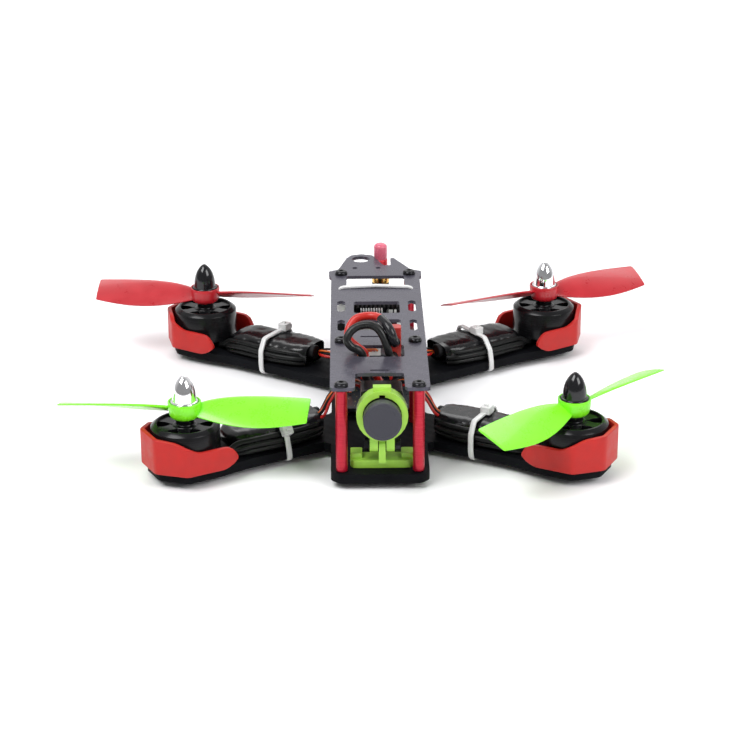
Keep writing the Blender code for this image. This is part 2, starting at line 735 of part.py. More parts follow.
def camera_base():
    """A bar across the nose, with a stem that carries the camera's pivot, and the pivot's screw."""
    low = PLATE_T + GAP
    top = low + 3.3
    bar = rounded(box_outline(CAMERA_X - 12.9, CAMERA_X + 12.7, -79.6, -71.0), 3.0, 3)
    body = finish("camera_base", prism(bar, low, top), "mount")
    bosses = bmesh.new()
    for x in (CAMERA_X - 10.4, CAMERA_X + 10.2):
        add_prism(bosses, rounded(box_outline(x - 2.4, x + 2.4, -77.4, -71.4), 0.8, 2), top - 0.3, top + 2.3)
    join(body, bosses)
    pivot = Matrix.Translation((CAMERA_X, PIVOT_Y, PIVOT_Z)) @ ACROSS
    arc = circle(STEM_TOP_R, 12)[:7]
    stem = [(-3.0, top - 0.3 - PIVOT_Z), (3.6, top - 0.3 - PIVOT_Z), *arc]
    join(body, placed(prism(stem, -STEM_HALF, STEM_HALF), pivot))
    cut(body, placed(prism(circle(PIVOT_HOLE_R, 16), -3, 3), pivot))

    reach = EAR_OUT + 0.5
    rod = prism(circle(PIVOT_HOLE_R - RUN, 16), -reach - 0.7, reach + 0.9)
    screw = finish("camera_pivot_screw", placed(rod, pivot), "steel")
    join(screw, placed(prism(circle(2.7, 16), reach, reach + 1.9), pivot))
    join(screw, placed(prism(circle(2.9, 6), -reach - 1.8, -reach), pivot))


def camera():
    """The camera, its ring mount and its lens, tilted up about the pivot. The lens looks along -Y."""
    tilt = math.radians(-CAMERA_TILT_DEG)
    axis = axis_empty("camera_tilt_axis", (CAMERA_X, PIVOT_Y, PIVOT_Z), rotation=(tilt, 0, 0))
    centre = Matrix.Translation((0, 0, LENS_Z)) @ AHEAD

    band = [(RING_BORE, RING_BACK), (RING_R, RING_BACK), (RING_R, RING_FRONT), (RING_BORE, RING_FRONT)]
    ring = finish("camera_ring", placed(turned(band, 24), centre), "mount", parent=axis)
    join(ring, placed(prism(box_outline(-3.6, 3.6, RING_R - 1.2, RING_R + 1.3), 0.5, 5.2), centre))
    notch = box_outline(-1.2, 1.2, RING_BORE - 1.5, RING_BORE + 0.9)
    cut(ring, placed(prism(notch, RING_FRONT - 3.0, RING_FRONT + 1), centre))
    ear = [(3.0, 5.0), (-3.0, 5.0), *circle(EAR_R, 12)[6:], (EAR_R, 0.0)]
    ear_in = STEM_HALF + 0.35
    for low, high in ((-EAR_OUT, -ear_in), (ear_in, EAR_OUT)):
        join(ring, placed(prism(ear, low, high), ACROSS))
    cut(ring, placed(prism(circle(PIVOT_HOLE_R, 16), -7, 7), ACROSS))
    saddle = box_outline(-EAR_OUT, EAR_OUT, 0.1 - RING_R, 1.2 - RING_R)
    join(ring, placed(prism(saddle, -3.0, 3.0), centre))

    outline = rounded(box_outline(-CASE_HALF, CASE_HALF, -CASE_HALF, CASE_HALF), 1.6, 2)
    case = placed(prism(outline, CASE_BACK, RING_BACK - 0.4), centre)
    finish("camera_case", case, "black_plastic", parent=axis)

    lens = [
        (0, RING_BACK - 0.1),
        (RING_BORE - 0.5, RING_BACK - 0.1),
        (RING_BORE - 0.5, RING_FRONT - 1.4),
        (LENS_R, RING_FRONT - 1.2),
        (LENS_R, LENS_FRONT),
        (LENS_R - 1.0, LENS_FRONT),
        (LENS_R - 1.8, LENS_FRONT - 0.8),
        (0, LENS_FRONT - 0.5),
    ]
    finish("camera_lens", placed(turned(lens, 20), centre), "black_plastic", parent=axis)

    cap_axis = axis_empty("lens_cap_axis", (0, 0, LENS_Z), parent=axis)
    inside = LENS_FRONT + 0.4
    cup = [(0, inside), (CAP_BORE, inside), (CAP_BORE, CAP_BACK)]
    cup += [(CAP_R, CAP_BACK), (CAP_R, CAP_FRONT), (0, CAP_FRONT)]
    finish("lens_cap", placed(turned(cup, 24), AHEAD), "slate", parent=cap_axis)


# The battery lead's two wires, by hand: out of the deck's front window, round a loop and back to the plug
LEAD_RED = [
    (2.4, -22.5, 11.2),
    (2.4, -26.0, 14.0),
    (1.0, -31.0, 21.0),
    (-2.0, -36.6, 29.5),
    (-5.0, -41.6, 36.6),
    (-6.1, -43.3, 40.4),
    (-9.0, -43.5, 43.1),
    (-12.0, -42.2, 45.6),
    (-12.5, -40.6, 48.8),
    (-10.4, -38.5, 52.3),
    (-7.5, -37.5, 53.8),
    (-3.0, -37.3, 54.2),
    (0.5, -39.5, 54.2),
    (3.1, -44.0, 53.0),
    (4.8, -46.6, 51.0),
    (5.9, -47.3, 48.0),
    (6.5, -46.0, 45.6),
    (6.8, -43.5, 44.9),
]
LEAD_BLACK = [
    (-2.8, -22.5, 11.2),
    (-2.9, -28.0, 13.6),
    (-3.6, -36.0, 21.0),
    (-5.6, -43.0, 30.0),
    (-6.4, -46.4, 37.0),
    (-6.6, -47.3, 40.4),
    (-8.2, -47.7, 43.0),
    (-11.1, -47.6, 44.4),
    (-13.1, -47.0, 47.2),
    (-11.9, -46.0, 50.0),
    (-9.7, -45.0, 51.8),
    (-6.9, -44.5, 52.8),
    (-3.4, -44.7, 53.0),
    (-0.6, -45.5, 51.8),
    (1.3, -46.4, 49.6),
    (2.5, -47.1, 47.0),
    (3.4, -47.6, 44.2),
    (4.3, -47.4, 41.2),
    (5.4, -45.7, 39.0),
    (5.9, -43.5, 38.3),
]
PLUG_AT = (7.0, -40.9, 51.0)
PLUG_LENGTH = 16.0
PLUG_LEAN_DEG = 3.0


def battery_lead():
    for name, points, colour in (
        ("battery_lead_red", LEAD_RED, "silicone_red"),
        ("battery_lead_black", LEAD_BLACK, "silicone_black"),
    ):
        data = bpy.data.curves.new(name, "CURVE")
        data.dimensions = "3D"
        data.bevel_depth = LEAD_R * MM
        data.bevel_resolution = 2
        data.use_fill_caps = True
        spline = data.splines.new("POLY")
        route = smooth_route([Vector(p) for p in points], 4.2)
        spline.points.add(len(route) - 1)
        for slot, point in zip(spline.points, route):
            slot.co = (*(point * MM), 1)
        data.materials.append(material(colour))
        bpy.context.scene.collection.objects.link(bpy.data.objects.new(name, data))

    place = Matrix.Translation(PLUG_AT) @ Matrix.Rotation(math.radians(PLUG_LEAN_DEG), 4, "X")
    shape = [(-2.4, -2.2), (2.4, -2.2), (2.4, 1.2), (1.3, 2.2), (-1.3, 2.2), (-2.4, 1.2)]
    finish("battery_plug", placed(prism(rounded(shape, 0.4, 1), -PLUG_LENGTH, 0.0), place), "guard")


def main():
    clear_scene()
    main_plate()
    top_plate()
    posts_and_screws()
    for corner in CORNERS:
        guard(corner)
        stator(corner)
        axis = axis_empty(f"rotor_axis_{corner}", motor_at(corner))
        bell(corner, axis)
        propeller(corner, axis)
        prop_nut(corner, axis)
        speed_controller(corner)
        zip_tie(corner)
        foot(corner)
    electronics()
    antenna_cap()
    camera_base()
    camera()
    battery_lead()


main()
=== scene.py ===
import json
import math

import bmesh
import bpy
from mathutils import Matrix, Vector, noise


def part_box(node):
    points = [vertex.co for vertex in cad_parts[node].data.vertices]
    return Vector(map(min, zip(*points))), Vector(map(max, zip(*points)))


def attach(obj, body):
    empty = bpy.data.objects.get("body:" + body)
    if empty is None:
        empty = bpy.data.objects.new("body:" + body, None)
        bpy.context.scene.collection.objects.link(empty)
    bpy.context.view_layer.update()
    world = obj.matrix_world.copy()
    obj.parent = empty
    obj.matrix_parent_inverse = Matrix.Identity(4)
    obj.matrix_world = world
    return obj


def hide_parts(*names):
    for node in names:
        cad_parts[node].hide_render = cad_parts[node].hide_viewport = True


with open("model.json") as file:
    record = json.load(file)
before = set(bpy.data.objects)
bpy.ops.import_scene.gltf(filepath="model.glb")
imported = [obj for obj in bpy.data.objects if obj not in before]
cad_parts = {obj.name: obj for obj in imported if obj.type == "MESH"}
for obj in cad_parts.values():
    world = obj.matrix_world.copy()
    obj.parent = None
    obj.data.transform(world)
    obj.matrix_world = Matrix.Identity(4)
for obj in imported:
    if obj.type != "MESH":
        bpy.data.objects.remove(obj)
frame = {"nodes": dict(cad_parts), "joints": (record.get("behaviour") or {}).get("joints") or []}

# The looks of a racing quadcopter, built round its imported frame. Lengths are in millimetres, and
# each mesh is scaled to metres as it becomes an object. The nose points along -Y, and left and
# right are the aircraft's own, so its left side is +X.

MM = 0.001
TOP = Vector((0, 0, 1))
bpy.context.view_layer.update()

CORNERS = ("front_left", "front_right", "rear_left", "rear_right")
ARM_DEG = {"front": 28.5, "rear": 32.4}
JOINT_AT = {j["name"]: Vector(j["pos_m"]) / MM for j in frame["joints"] if "pos_m" in j}


def span(node):
    """A CAD node's lowest and highest corners, in millimetres."""
    low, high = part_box(node)
    return low / MM, high / MM


def upright(node):
    """A round upright node's place in plan, radius, and lowest and highest z."""
    low, high = span(node)
    centre = (low + high) / 2
    return at(centre.x, centre.y, 0), (high.x - low.x) / 2, low.z, high.z


FLOOR_Z = span("rubber_foot_front_left")[0].z
PLATE_TOP = span("main_plate")[1].z
DECK_LOW, DECK_TOP = (corner.z for corner in span("top_plate"))


# ---- mesh building


def circle(radius, count):
    turns = [2 * math.pi * i / count for i in range(count)]
    return [(radius * math.cos(a), radius * math.sin(a)) for a in turns]


def rectangle(x0, x1, y0, y1):
    return [(x0, y0), (x1, y0), (x1, y1), (x0, y1)]


def arc_between(before, here, after, radius, steps):
    """The points of a rounded corner, or the corner itself where the line hardly turns."""
    back, ahead = Vector(before) - Vector(here), Vector(after) - Vector(here)
    angle = back.angle(ahead)
    if angle > math.radians(172):
        return [tuple(here)]
    reach = min(radius / math.tan(angle / 2), back.length * 0.48, ahead.length * 0.48)
    start = Vector(here) + back.normalized() * reach
    end = Vector(here) + ahead.normalized() * reach
    arc = []
    for k in range(steps + 1):
        t = k / steps
        arc.append(tuple(start * (1 - t) ** 2 + Vector(here) * 2 * t * (1 - t) + end * t**2))
    return arc


def rounded(outline, radius, steps):
    """A closed outline with its corners rounded."""
    smooth = []
    for i, here in enumerate(outline):
        smooth += arc_between(outline[i - 1], here, outline[(i + 1) % len(outline)], radius, steps)
    return smooth


def softened(profile, radius, steps=3):
    """An open profile with its inner corners rounded."""
    smooth = [profile[0]]
    for before, here, after in zip(profile, profile[1:], profile[2:]):
        smooth += arc_between(before, here, after, radius, steps)
    return [*smooth, profile[-1]]


def offset_outline(outline, grow):
    """An outline listed anticlockwise, moved outwards by an equal distance on every side."""
    moved = []
    for i, corner in enumerate(outline):
        here = Vector(corner)
        back = (here - Vector(outline[i - 1])).normalized()
        ahead = (Vector(outline[(i + 1) % len(outline)]) - here).normalized()
        out_ahead = Vector((ahead.y, -ahead.x))
        between = (Vector((back.y, -back.x)) + out_ahead).normalized()
        moved.append(tuple(here + between * (grow / between.dot(out_ahead))))
    return moved


def prism(outline, low, high):
    bm = bmesh.new()
    floor = [bm.verts.new((x, y, low)) for x, y in outline]
    roof = [bm.verts.new((x, y, high)) for x, y in outline]
    bm.faces.new(floor)
    bm.faces.new(roof)
    for i in range(len(floor)):
        j = (i + 1) % len(floor)
        bm.faces.new((floor[i], floor[j], roof[j], roof[i]))
    return bm


def box(x0, x1, y0, y1, z0, z1):
    return prism(rectangle(x0, x1, y0, y1), z0, z1)


def turned(profile, count):
    """A solid of revolution about Z from (radius, height) points. Radius 0 closes an end, and a
    profile that never reaches the axis is a ring."""
    bm = bmesh.new()
    rows = []
    for radius, height in profile:
        if radius == 0:
            rows.append([bm.verts.new((0, 0, height))])
        else:
            rows.append([bm.verts.new((x, y, height)) for x, y in circle(radius, count)])
    pairs = list(zip(rows, rows[1:]))
    if profile[0][0] > 0 and profile[-1][0] > 0:
        pairs.append((rows[-1], rows[0]))
    for low, high in pairs:
        for i in range(count):
            j = (i + 1) % count
            corners = [low[i % len(low)], low[j % len(low)], high[j % len(high)], high[i % len(high)]]
            bm.faces.new(list(dict.fromkeys(corners)))
    return bm


def loft(sections, closed=False):
    """A solid through equal loops of points. Its ends are flat, or it closes on itself."""
    bm = bmesh.new()
    loops = [[bm.verts.new(point) for point in section] for section in sections]
    pairs = list(zip(loops, loops[1:]))
    if closed:
        pairs.append((loops[-1], loops[0]))
    else:
        bm.faces.new(loops[0])
        bm.faces.new(loops[-1])
    for one, two in pairs:
        for i in range(len(one)):
            j = (i + 1) % len(one)
            bm.faces.new((one[i], one[j], two[j], two[i]))
    return bm


def smooth_route(points, step):
    """Points about a step apart on a smooth curve through the given ones."""
    points = [Vector(p) for p in points]
    ends = [points[0] * 2 - points[1], *points, points[-1] * 2 - points[-2]]
    route = [points[0]]
    for a, b, c, d in zip(ends, ends[1:], ends[2:], ends[3:]):
        count = max(1, round((c - b).length / step))
        for k in range(1, count + 1):
            t = k / count
            bend = (2 * a - 5 * b + 4 * c - d) * t**2 + (3 * b - a - 3 * c + d) * t**3
            route.append(0.5 * (2 * b + (c - a) * t + bend))
    return route


def tube(points, radius, count, step=1.2):
    """A closed tube along a smooth route."""
    route = smooth_route(points, step)
    sections = []
    side = None
    for i, here in enumerate(route):
        ahead = (route[min(i + 1, len(route) - 1)] - route[max(i - 1, 0)]).normalized()
        if side is None:
            side = ahead.orthogonal() if abs(ahead.z) > 0.95 else ahead.cross(TOP)
        side = (side - ahead * side.dot(ahead)).normalized()
        up = side.cross(ahead)
        sections.append([here + side * x + up * y for x, y in circle(radius, count)])
    return loft(sections)


def placed(bm, matrix):
    bmesh.ops.transform(bm, matrix=matrix, verts=bm.verts)
    return bm


def together(*parts):
    """Several solids in one mesh."""
    whole = bmesh.new()
    for part in parts:
        mesh = bpy.data.meshes.new("part")
        part.to_mesh(mesh)
        part.free()
        whole.from_mesh(mesh)
        bpy.data.meshes.remove(mesh)
    return whole


def at(x, y, z):
    return Matrix.Translation((x, y, z))


def turn(degrees, axis):
    return Matrix.Rotation(math.radians(degrees), 4, axis)


def from_node(node):
    """A CAD node's own mesh in millimetres, with its flat faces whole again."""
    bm = bmesh.new()
    bm.from_mesh(frame["nodes"][node].data)
    bmesh.ops.remove_doubles(bm, verts=bm.verts, dist=1e-6)
    bmesh.ops.scale(bm, vec=(1 / MM,) * 3, verts=bm.verts)
    bmesh.ops.dissolve_limit(bm, angle_limit=math.radians(1), verts=bm.verts, edges=bm.edges)
    return bm


def mesh_of(bm, name):
    """A mesh in metres from a bmesh in millimetres, its faces pointing out."""
    bmesh.ops.recalc_face_normals(bm, faces=bm.faces)
    bmesh.ops.scale(bm, vec=(MM,) * 3, verts=bm.verts)
    mesh = bpy.data.meshes.new(name)
    bm.to_mesh(mesh)
    bm.free()
    return mesh


def linked(name, data):
    """A new object in the scene."""
    obj = bpy.data.objects.new(name, data)
    bpy.context.scene.collection.objects.link(obj)
    return obj


def piece(name, bm, finish, replaces=None, body="frame", smooth=35, bevel=0.0, segments=2):
    """Makes a bmesh a piece that rides on a body, in place of a CAD node if it names one."""
    mesh = mesh_of(bm, name)
    mesh.shade_smooth()
    mesh.set_sharp_from_angle(angle=math.radians(smooth))
    mesh.materials.append(FINISHES[finish])
    obj = linked(name, mesh)
    if bevel:
        edge = obj.modifiers.new("edge", "BEVEL")
        edge.width = bevel * MM
        edge.segments = segments
        edge.limit_method = "ANGLE"
        edge.angle_limit = math.radians(smooth)
        edge.harden_normals = True
    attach(obj, body)
    if replaces:
        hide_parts(replaces)
    return obj


def carve(obj, bm):
    """Cuts a solid out of a piece, ahead of its bevel."""
    cutter = linked("cutter", mesh_of(bm, "cutter"))
    others = list(obj.modifiers)
    for other in others:
        other.show_viewport = False
    cut = obj.modifiers.new("cut", "BOOLEAN")
    cut.operation = "DIFFERENCE"
    cut.object = cutter
    bpy.context.view_layer.update()
    graph = bpy.context.evaluated_depsgraph_get()
    obj.data = bpy.data.meshes.new_from_object(obj.evaluated_get(graph))
    obj.data.set_sharp_from_angle(angle=math.radians(35))
    obj.modifiers.remove(cut)
    for other in others:
        other.show_viewport = True
    bpy.data.objects.remove(cutter)


# ---- finishes


def node(tree, kind, inputs=None, **settings):
    """A shader node with its settings, and its inputs set or linked."""
    made = tree.nodes.new(kind)
    for key, value in settings.items():
        setattr(made, key, value)
    for key, value in (inputs or {}).items():
        if isinstance(value, bpy.types.NodeSocket):
            tree.links.new(value, made.inputs[key])
        else:
            made.inputs[key].default_value = value
    return made


def math_node(tree, operation, a, b=0.0):
    return node(tree, "ShaderNodeMath", {0: a, 1: b}, operation=operation).outputs[0]


def stretched(tree, vector, scale):
    return node(tree, "ShaderNodeVectorMath", {0: vector, 1: scale}, operation="MULTIPLY").outputs[0]


def set_sockets(shader, **sockets):
    for key, value in sockets.items():
        shader.inputs[key.replace("_", " ")].default_value = value


FINISHES = {}


def shader_of(name, colour, roughness, metallic=0.0, **sockets):
    """Starts a finish. Gives its tree, its shader and the object coordinates in millimetres."""
    made = bpy.data.materials.new(name)
    made.use_nodes = True
    made.diffuse_color = (*colour, 1)
    tree = made.node_tree
    shader = tree.nodes["Principled BSDF"]
    set_sockets(shader, Base_Color=(*colour, 1), Roughness=roughness, Metallic=metallic, **sockets)
    FINISHES[name] = made
    place = node(tree, "ShaderNodeTexCoord").outputs["Object"]
    return tree, shader, stretched(tree, place, (1 / MM,) * 3)


def dress(tree, shader, colour, roughness, normal):
    """Links what a finish ends in."""
    for socket, value in (("Base Color", colour), ("Roughness", roughness), ("Normal", normal)):
        tree.links.new(value, shader.inputs[socket])


def noise_of(tree, place, size, detail=3.0, stretch=(1, 1, 1)):
    """Noise whose features are about a size in millimetres, longer along a stretched axis."""
    moved = stretched(tree, place, [1 / (size * s) for s in stretch])
    settings = {"Vector": moved, "Scale": 1.0, "Detail": detail}
    return node(tree, "ShaderNodeTexNoise", settings).outputs["Fac"]


def spread_of(tree, value, low, high, start=0.3, end=0.7):
    settings = {"Value": value, "From Min": start, "From Max": end, "To Min": low, "To Max": high}
    return node(tree, "ShaderNodeMapRange", settings).outputs["Result"]


def mixed(tree, factor, one, two):
    """A mix of two colours, each of them a constant or a socket."""
    one, two = (c if isinstance(c, bpy.types.NodeSocket) else (*c, 1) for c in (one, two))
    return node(tree, "ShaderNodeMix", {0: factor, 6: one, 7: two}, data_type="RGBA").outputs[2]


def bump_of(tree, height, strength, distance):
    """A bump of a height in millimetres."""
    settings = {"Height": height, "Strength": strength, "Distance": distance * MM}
    return node(tree, "ShaderNodeBump", settings).outputs["Normal"]


def shade(colour, factor):
    return tuple(min(1.0, c * factor) for c in colour)


def tinted(tree, value, colour, low, high):
    """A colour that varies with noise between two of its own shades."""
    return mixed(tree, spread_of(tree, value, 0, 1), shade(colour, low), shade(colour, high))


GLOSS_SPREAD = 0.07
GRAIN_MM = 0.9


def moulded(name, colour, roughness, mottle, mottle_mm=7.0, bump=0.05, depth=0.02, **sockets):
    """A surface with slow colour variation, uneven gloss and a fine grain."""
    tree, shader, place = shader_of(name, colour, roughness, **sockets)
    slow = noise_of(tree, place, mottle_mm, 4.0)
    fine = noise_of(tree, place, GRAIN_MM, 2.0)
    colours = tinted(tree, slow, colour, 1 - mottle, 1 + mottle)
    gloss = spread_of(tree, slow, roughness - GLOSS_SPREAD, roughness + GLOSS_SPREAD)
    speck = spread_of(tree, fine, -GLOSS_SPREAD / 2, GLOSS_SPREAD / 2)
    dress(tree, shader, colours, math_node(tree, "ADD", gloss, speck), bump_of(tree, fine, bump, depth))


def parts_of(tree, vector):
    """A vector's X, Y and Z."""
    return node(tree, "ShaderNodeSeparateXYZ", {0: vector}).outputs


PLY_MM = 0.22


def carbon_sheet(name, dark, light, roughness, tow=1.5, weave=0.18, bump=0.12, **sockets):
    """Twill cloth under resin on the flat faces, and stacked plies on the cut edges."""
    tree, shader, place = shader_of(name, dark, roughness, **sockets)
    axes = parts_of(tree, place)
    across = math_node(tree, "DIVIDE", axes[0], tow)
    along = math_node(tree, "DIVIDE", axes[1], tow)
    step = math_node(tree, "ADD", math_node(tree, "FLOOR", across), math_node(tree, "FLOOR", along))
    warp = math_node(tree, "LESS_THAN", math_node(tree, "FLOORED_MODULO", step, 4.0), 1.5)
    over = math_node(tree, "PINGPONG", across, 0.5)
    under = math_node(tree, "PINGPONG", along, 0.5)
    cloth = node(tree, "ShaderNodeMix", {0: warp, 2: under, 3: over}, data_type="FLOAT").outputs[0]
    plies = math_node(tree, "PINGPONG", math_node(tree, "DIVIDE", axes[2], PLY_MM), 0.5)
    facing = parts_of(tree, node(tree, "ShaderNodeNewGeometry").outputs["Normal"])[2]
    flat = math_node(tree, "GREATER_THAN", math_node(tree, "ABSOLUTE", facing), 0.6)
    pattern = node(tree, "ShaderNodeMix", {0: flat, 2: plies, 3: cloth}, data_type="FLOAT").outputs[0]
    slow = noise_of(tree, place, 14.0, 4.0)
    seen = math_node(tree, "MULTIPLY", pattern, weave * 2)
    tint = math_node(tree, "ADD", seen, spread_of(tree, slow, 0, 0.5))
    gloss = spread_of(tree, slow, roughness - 0.05, roughness + 0.07)
    gloss = math_node(tree, "ADD", gloss, math_node(tree, "MULTIPLY", warp, 0.05))
    dress(tree, shader, mixed(tree, tint, dark, light), gloss, bump_of(tree, pattern, bump, 0.05))


LATHE_MM = 0.12


def lathed(name, colour, roughness, metallic, bump=0.12, **sockets):
    """Metal with fine turning marks that run round a vertical axis."""
    tree, shader, place = shader_of(name, colour, roughness, metallic, **sockets)
    height = math_node(tree, "DIVIDE", parts_of(tree, place)[2], LATHE_MM)
    settings = {"W": height, "Scale": 1.0, "Detail": 2.0}
    marks = node(tree, "ShaderNodeTexNoise", settings, noise_dimensions="1D").outputs["Fac"]
    colours = tinted(tree, noise_of(tree, place, 5.0), colour, 0.9, 1.1)
    gloss = spread_of(tree, marks, roughness - 0.04, roughness + 0.06)
    dress(tree, shader, colours, gloss, bump_of(tree, marks, bump, 0.01))


def shrink_wrap(name, colour):
    """Glossy heat-shrink, with long soft creases and small dents, and painted shade in its creases and
    highlight on their ridges.
    """
    tree, shader, place = shader_of(name, colour, 0.20, Specular_IOR_Level=0.4)
    creases = noise_of(tree, place, 5.0, 2.0, (3.0, 2.0, 0.8))
    dents = noise_of(tree, place, 1.6, 2.0)
    height = math_node(tree, "ADD", creases, math_node(tree, "MULTIPLY", dents, 0.05))
    # Painted shade and highlight: the colour is darker down in the creases and lighter on their ridges.
    colours = tinted(tree, creases, colour, 0.7, 1.5)
    dress(tree, shader, colours, spread_of(tree, dents, 0.15, 0.28), bump_of(tree, height, 0.14, 0.35))


WINDING_MM = 0.45


def wound(name, colour):
    """Enamelled wire, wound in fine turns that lie one above the other, with painted shade between the
    turns and a painted highlight along each.
    """
    tree, shader, place = shader_of(name, colour, 0.3, 0.9)
    height = math_node(tree, "DIVIDE", parts_of(tree, place)[2], WINDING_MM)
    turns = math_node(tree, "PINGPONG", height, 0.5)
    gloss = spread_of(tree, noise_of(tree, place, 1.0), 0.22, 0.4)
    # Painted shade and highlight: each turn goes from dark in the groove below it to bright on its crest.
    colours = mixed(tree, turns, shade(colour, 0.25), shade(colour, 1.7))
    dress(tree, shader, colours, gloss, bump_of(tree, turns, 0.8, 0.15))


def circuit(name, colour, trace):
    """Solder mask over fine copper tracks, with plated holes."""
    tree, shader, place = shader_of(name, colour, 0.35, Coat_Weight=0.3)
    settings = {"Vector": place, "Scale": 0.55}
    distance = node(tree, "ShaderNodeTexVoronoi", settings, distance="CHEBYCHEV").outputs["Distance"]
    rings = math_node(tree, "PINGPONG", math_node(tree, "MULTIPLY", distance, 3.0), 0.5)
    tracks = math_node(tree, "GREATER_THAN", rings, 0.30)
    holes = math_node(tree, "LESS_THAN", distance, 0.10)
    colours = mixed(tree, holes, mixed(tree, tracks, colour, trace), PLATED)
    gloss = spread_of(tree, noise_of(tree, place, 1.5), 0.26, 0.42)
    dress(tree, shader, colours, gloss, bump_of(tree, tracks, 0.4, 0.04))


PLATED = (0.55, 0.42, 0.16)
BLACK = (0.006, 0.006, 0.007)
PLIABLE = (0.006, 0.0065, 0.0065)

carbon_sheet("carbon", (0.003, 0.003, 0.004), (0.009, 0.010, 0.012), 0.50, Specular_IOR_Level=0.05)
carbon_sheet("deck", (0.058, 0.055, 0.072), (0.063, 0.060, 0.079), 0.23, tow=2.2, weave=0.04, bump=0.01,
             Specular_IOR_Level=0.5, Specular_Tint=(0.86, 0.84, 1.0, 1.0))
lathed("anodised", (0.44, 0.008, 0.027), 0.27, 0.4, bump=0.03)
lathed("black_metal", BLACK, 0.22, 0.2, Specular_IOR_Level=0.3)
lathed("silver", (0.86, 0.86, 0.88), 0.06, 1.0, bump=0.03)
lathed("gunmetal", (0.006, 0.006, 0.008), 0.14, 0.2, bump=0.03, Coat_Weight=0.2)
lathed("screw", (0.014, 0.014, 0.017), 0.22, 0.6, bump=0.04)
lathed("steel", (0.42, 0.42, 0.44), 0.25, 1.0)
lathed("gold", (0.72, 0.46, 0.13), 0.22, 1.0)
lathed("magnet", (0.30, 0.30, 0.32), 0.3, 1.0)
wound("windings", (0.36, 0.12, 0.045))
shrink_wrap("wrap", (0.0045, 0.0045, 0.0055))
shrink_wrap("band", (0.009, 0.009, 0.011))
circuit("board", (0.002, 0.004, 0.008), (0.005, 0.010, 0.016))
moulded("lime", (0.20, 0.80, 0.012), 0.30, 0.05, Coat_Weight=0.2)
moulded("prop_red", (0.43, 0.010, 0.018), 0.34, 0.07, Coat_Weight=0.15)
moulded("guard", (0.44, 0.012, 0.009), 0.46, 0.07, mottle_mm=5.0, bump=0.08, Specular_IOR_Level=0.35)
moulded("plug", (0.50, 0.03, 0.022), 0.34, 0.08, mottle_mm=4.0, Transmission_Weight=0.15,
        Subsurface_Weight=0.3, Subsurface_Radius=(0.002, 0.0006, 0.0005))
moulded("mount", (0.33, 0.61, 0.065), 0.42, 0.07, mottle_mm=4.0, bump=0.10, Subsurface_Weight=0.06)
moulded("black_plastic", BLACK, 0.34, 0.2, Specular_IOR_Level=0.35)
moulded("matte_black", BLACK, 0.55, 0.2, bump=0.10, Specular_IOR_Level=0.2)
moulded("rubber", (0.009, 0.009, 0.010), 0.62, 0.2, bump=0.12, Specular_IOR_Level=0.3)
moulded("nylon", (0.66, 0.66, 0.66), 0.36, 0.04, Subsurface_Weight=0.25, Subsurface_Radius=(0.002,) * 3)
moulded("slate", (0.027, 0.027, 0.038), 0.50, 0.05, bump=0.12, depth=0.03)
moulded("white_plastic", (0.80, 0.80, 0.79), 0.38, 0.03)
moulded("vinyl", (0.68, 0.028, 0.042), 0.26, 0.06, mottle_mm=3.0, bump=0.03)
moulded("vinyl_tip", (0.66, 0.14, 0.21), 0.24, 0.06, mottle_mm=3.0, bump=0.03,
        Subsurface_Weight=0.4, Subsurface_Radius=(0.003, 0.001, 0.001))
moulded("wire_red", (0.42, 0.010, 0.009), 0.34, 0.10, mottle_mm=3.0)
moulded("wire_orange", (0.60, 0.12, 0.018), 0.36, 0.10, mottle_mm=3.0)
moulded("wire_yellow", (0.66, 0.38, 0.03), 0.36, 0.10, mottle_mm=3.0)
moulded("wire_black", PLIABLE, 0.34, 0.15, mottle_mm=3.0, Specular_IOR_Level=0.2)
moulded("silicone_red", (0.50, 0.018, 0.011), 0.34, 0.09, mottle_mm=3.0)
moulded("silicone_black", PLIABLE, 0.33, 0.15, mottle_mm=3.0, Specular_IOR_Level=0.4)


# ---- camera and light


LENS_MM = 100.24
CAMERA_AT = Vector((-12.38, -849.46, 355.88))
CAMERA_DOWN = 22.0
CAMERA_YAW = 0.773
CAMERA_ROLL = 0.177


def add_camera():
    data = bpy.data.cameras.new("camera")
    data.lens = LENS_MM
    data.sensor_width = 36.0
    data.clip_start = 0.01
    camera = linked("camera", data)
    facing = turn(-CAMERA_YAW, "Z") @ turn(90 - CAMERA_DOWN, "X") @ turn(-CAMERA_ROLL, "Z")
    camera.matrix_world = Matrix.Translation(CAMERA_AT * MM) @ facing
    bpy.context.scene.camera = camera


def softbox(name, position, size, power):
    """A soft light that faces the aircraft."""
    data = bpy.data.lights.new(name, "AREA")
    data.shape = "RECTANGLE"
    data.size, data.size_y = size
    data.energy = power
    light = linked(name, data)
    light.location = position
    light.rotation_euler = (-Vector(position)).to_track_quat("-Z", "Y").to_euler()


SKY_BRIGHT = (0.0, 0.96, 0.28)
FLOOR_COLOUR = (0.93, 0.93, 0.945, 1)
FLOOR_HALF = 4000.0
FLOOR_DROP = 0.05


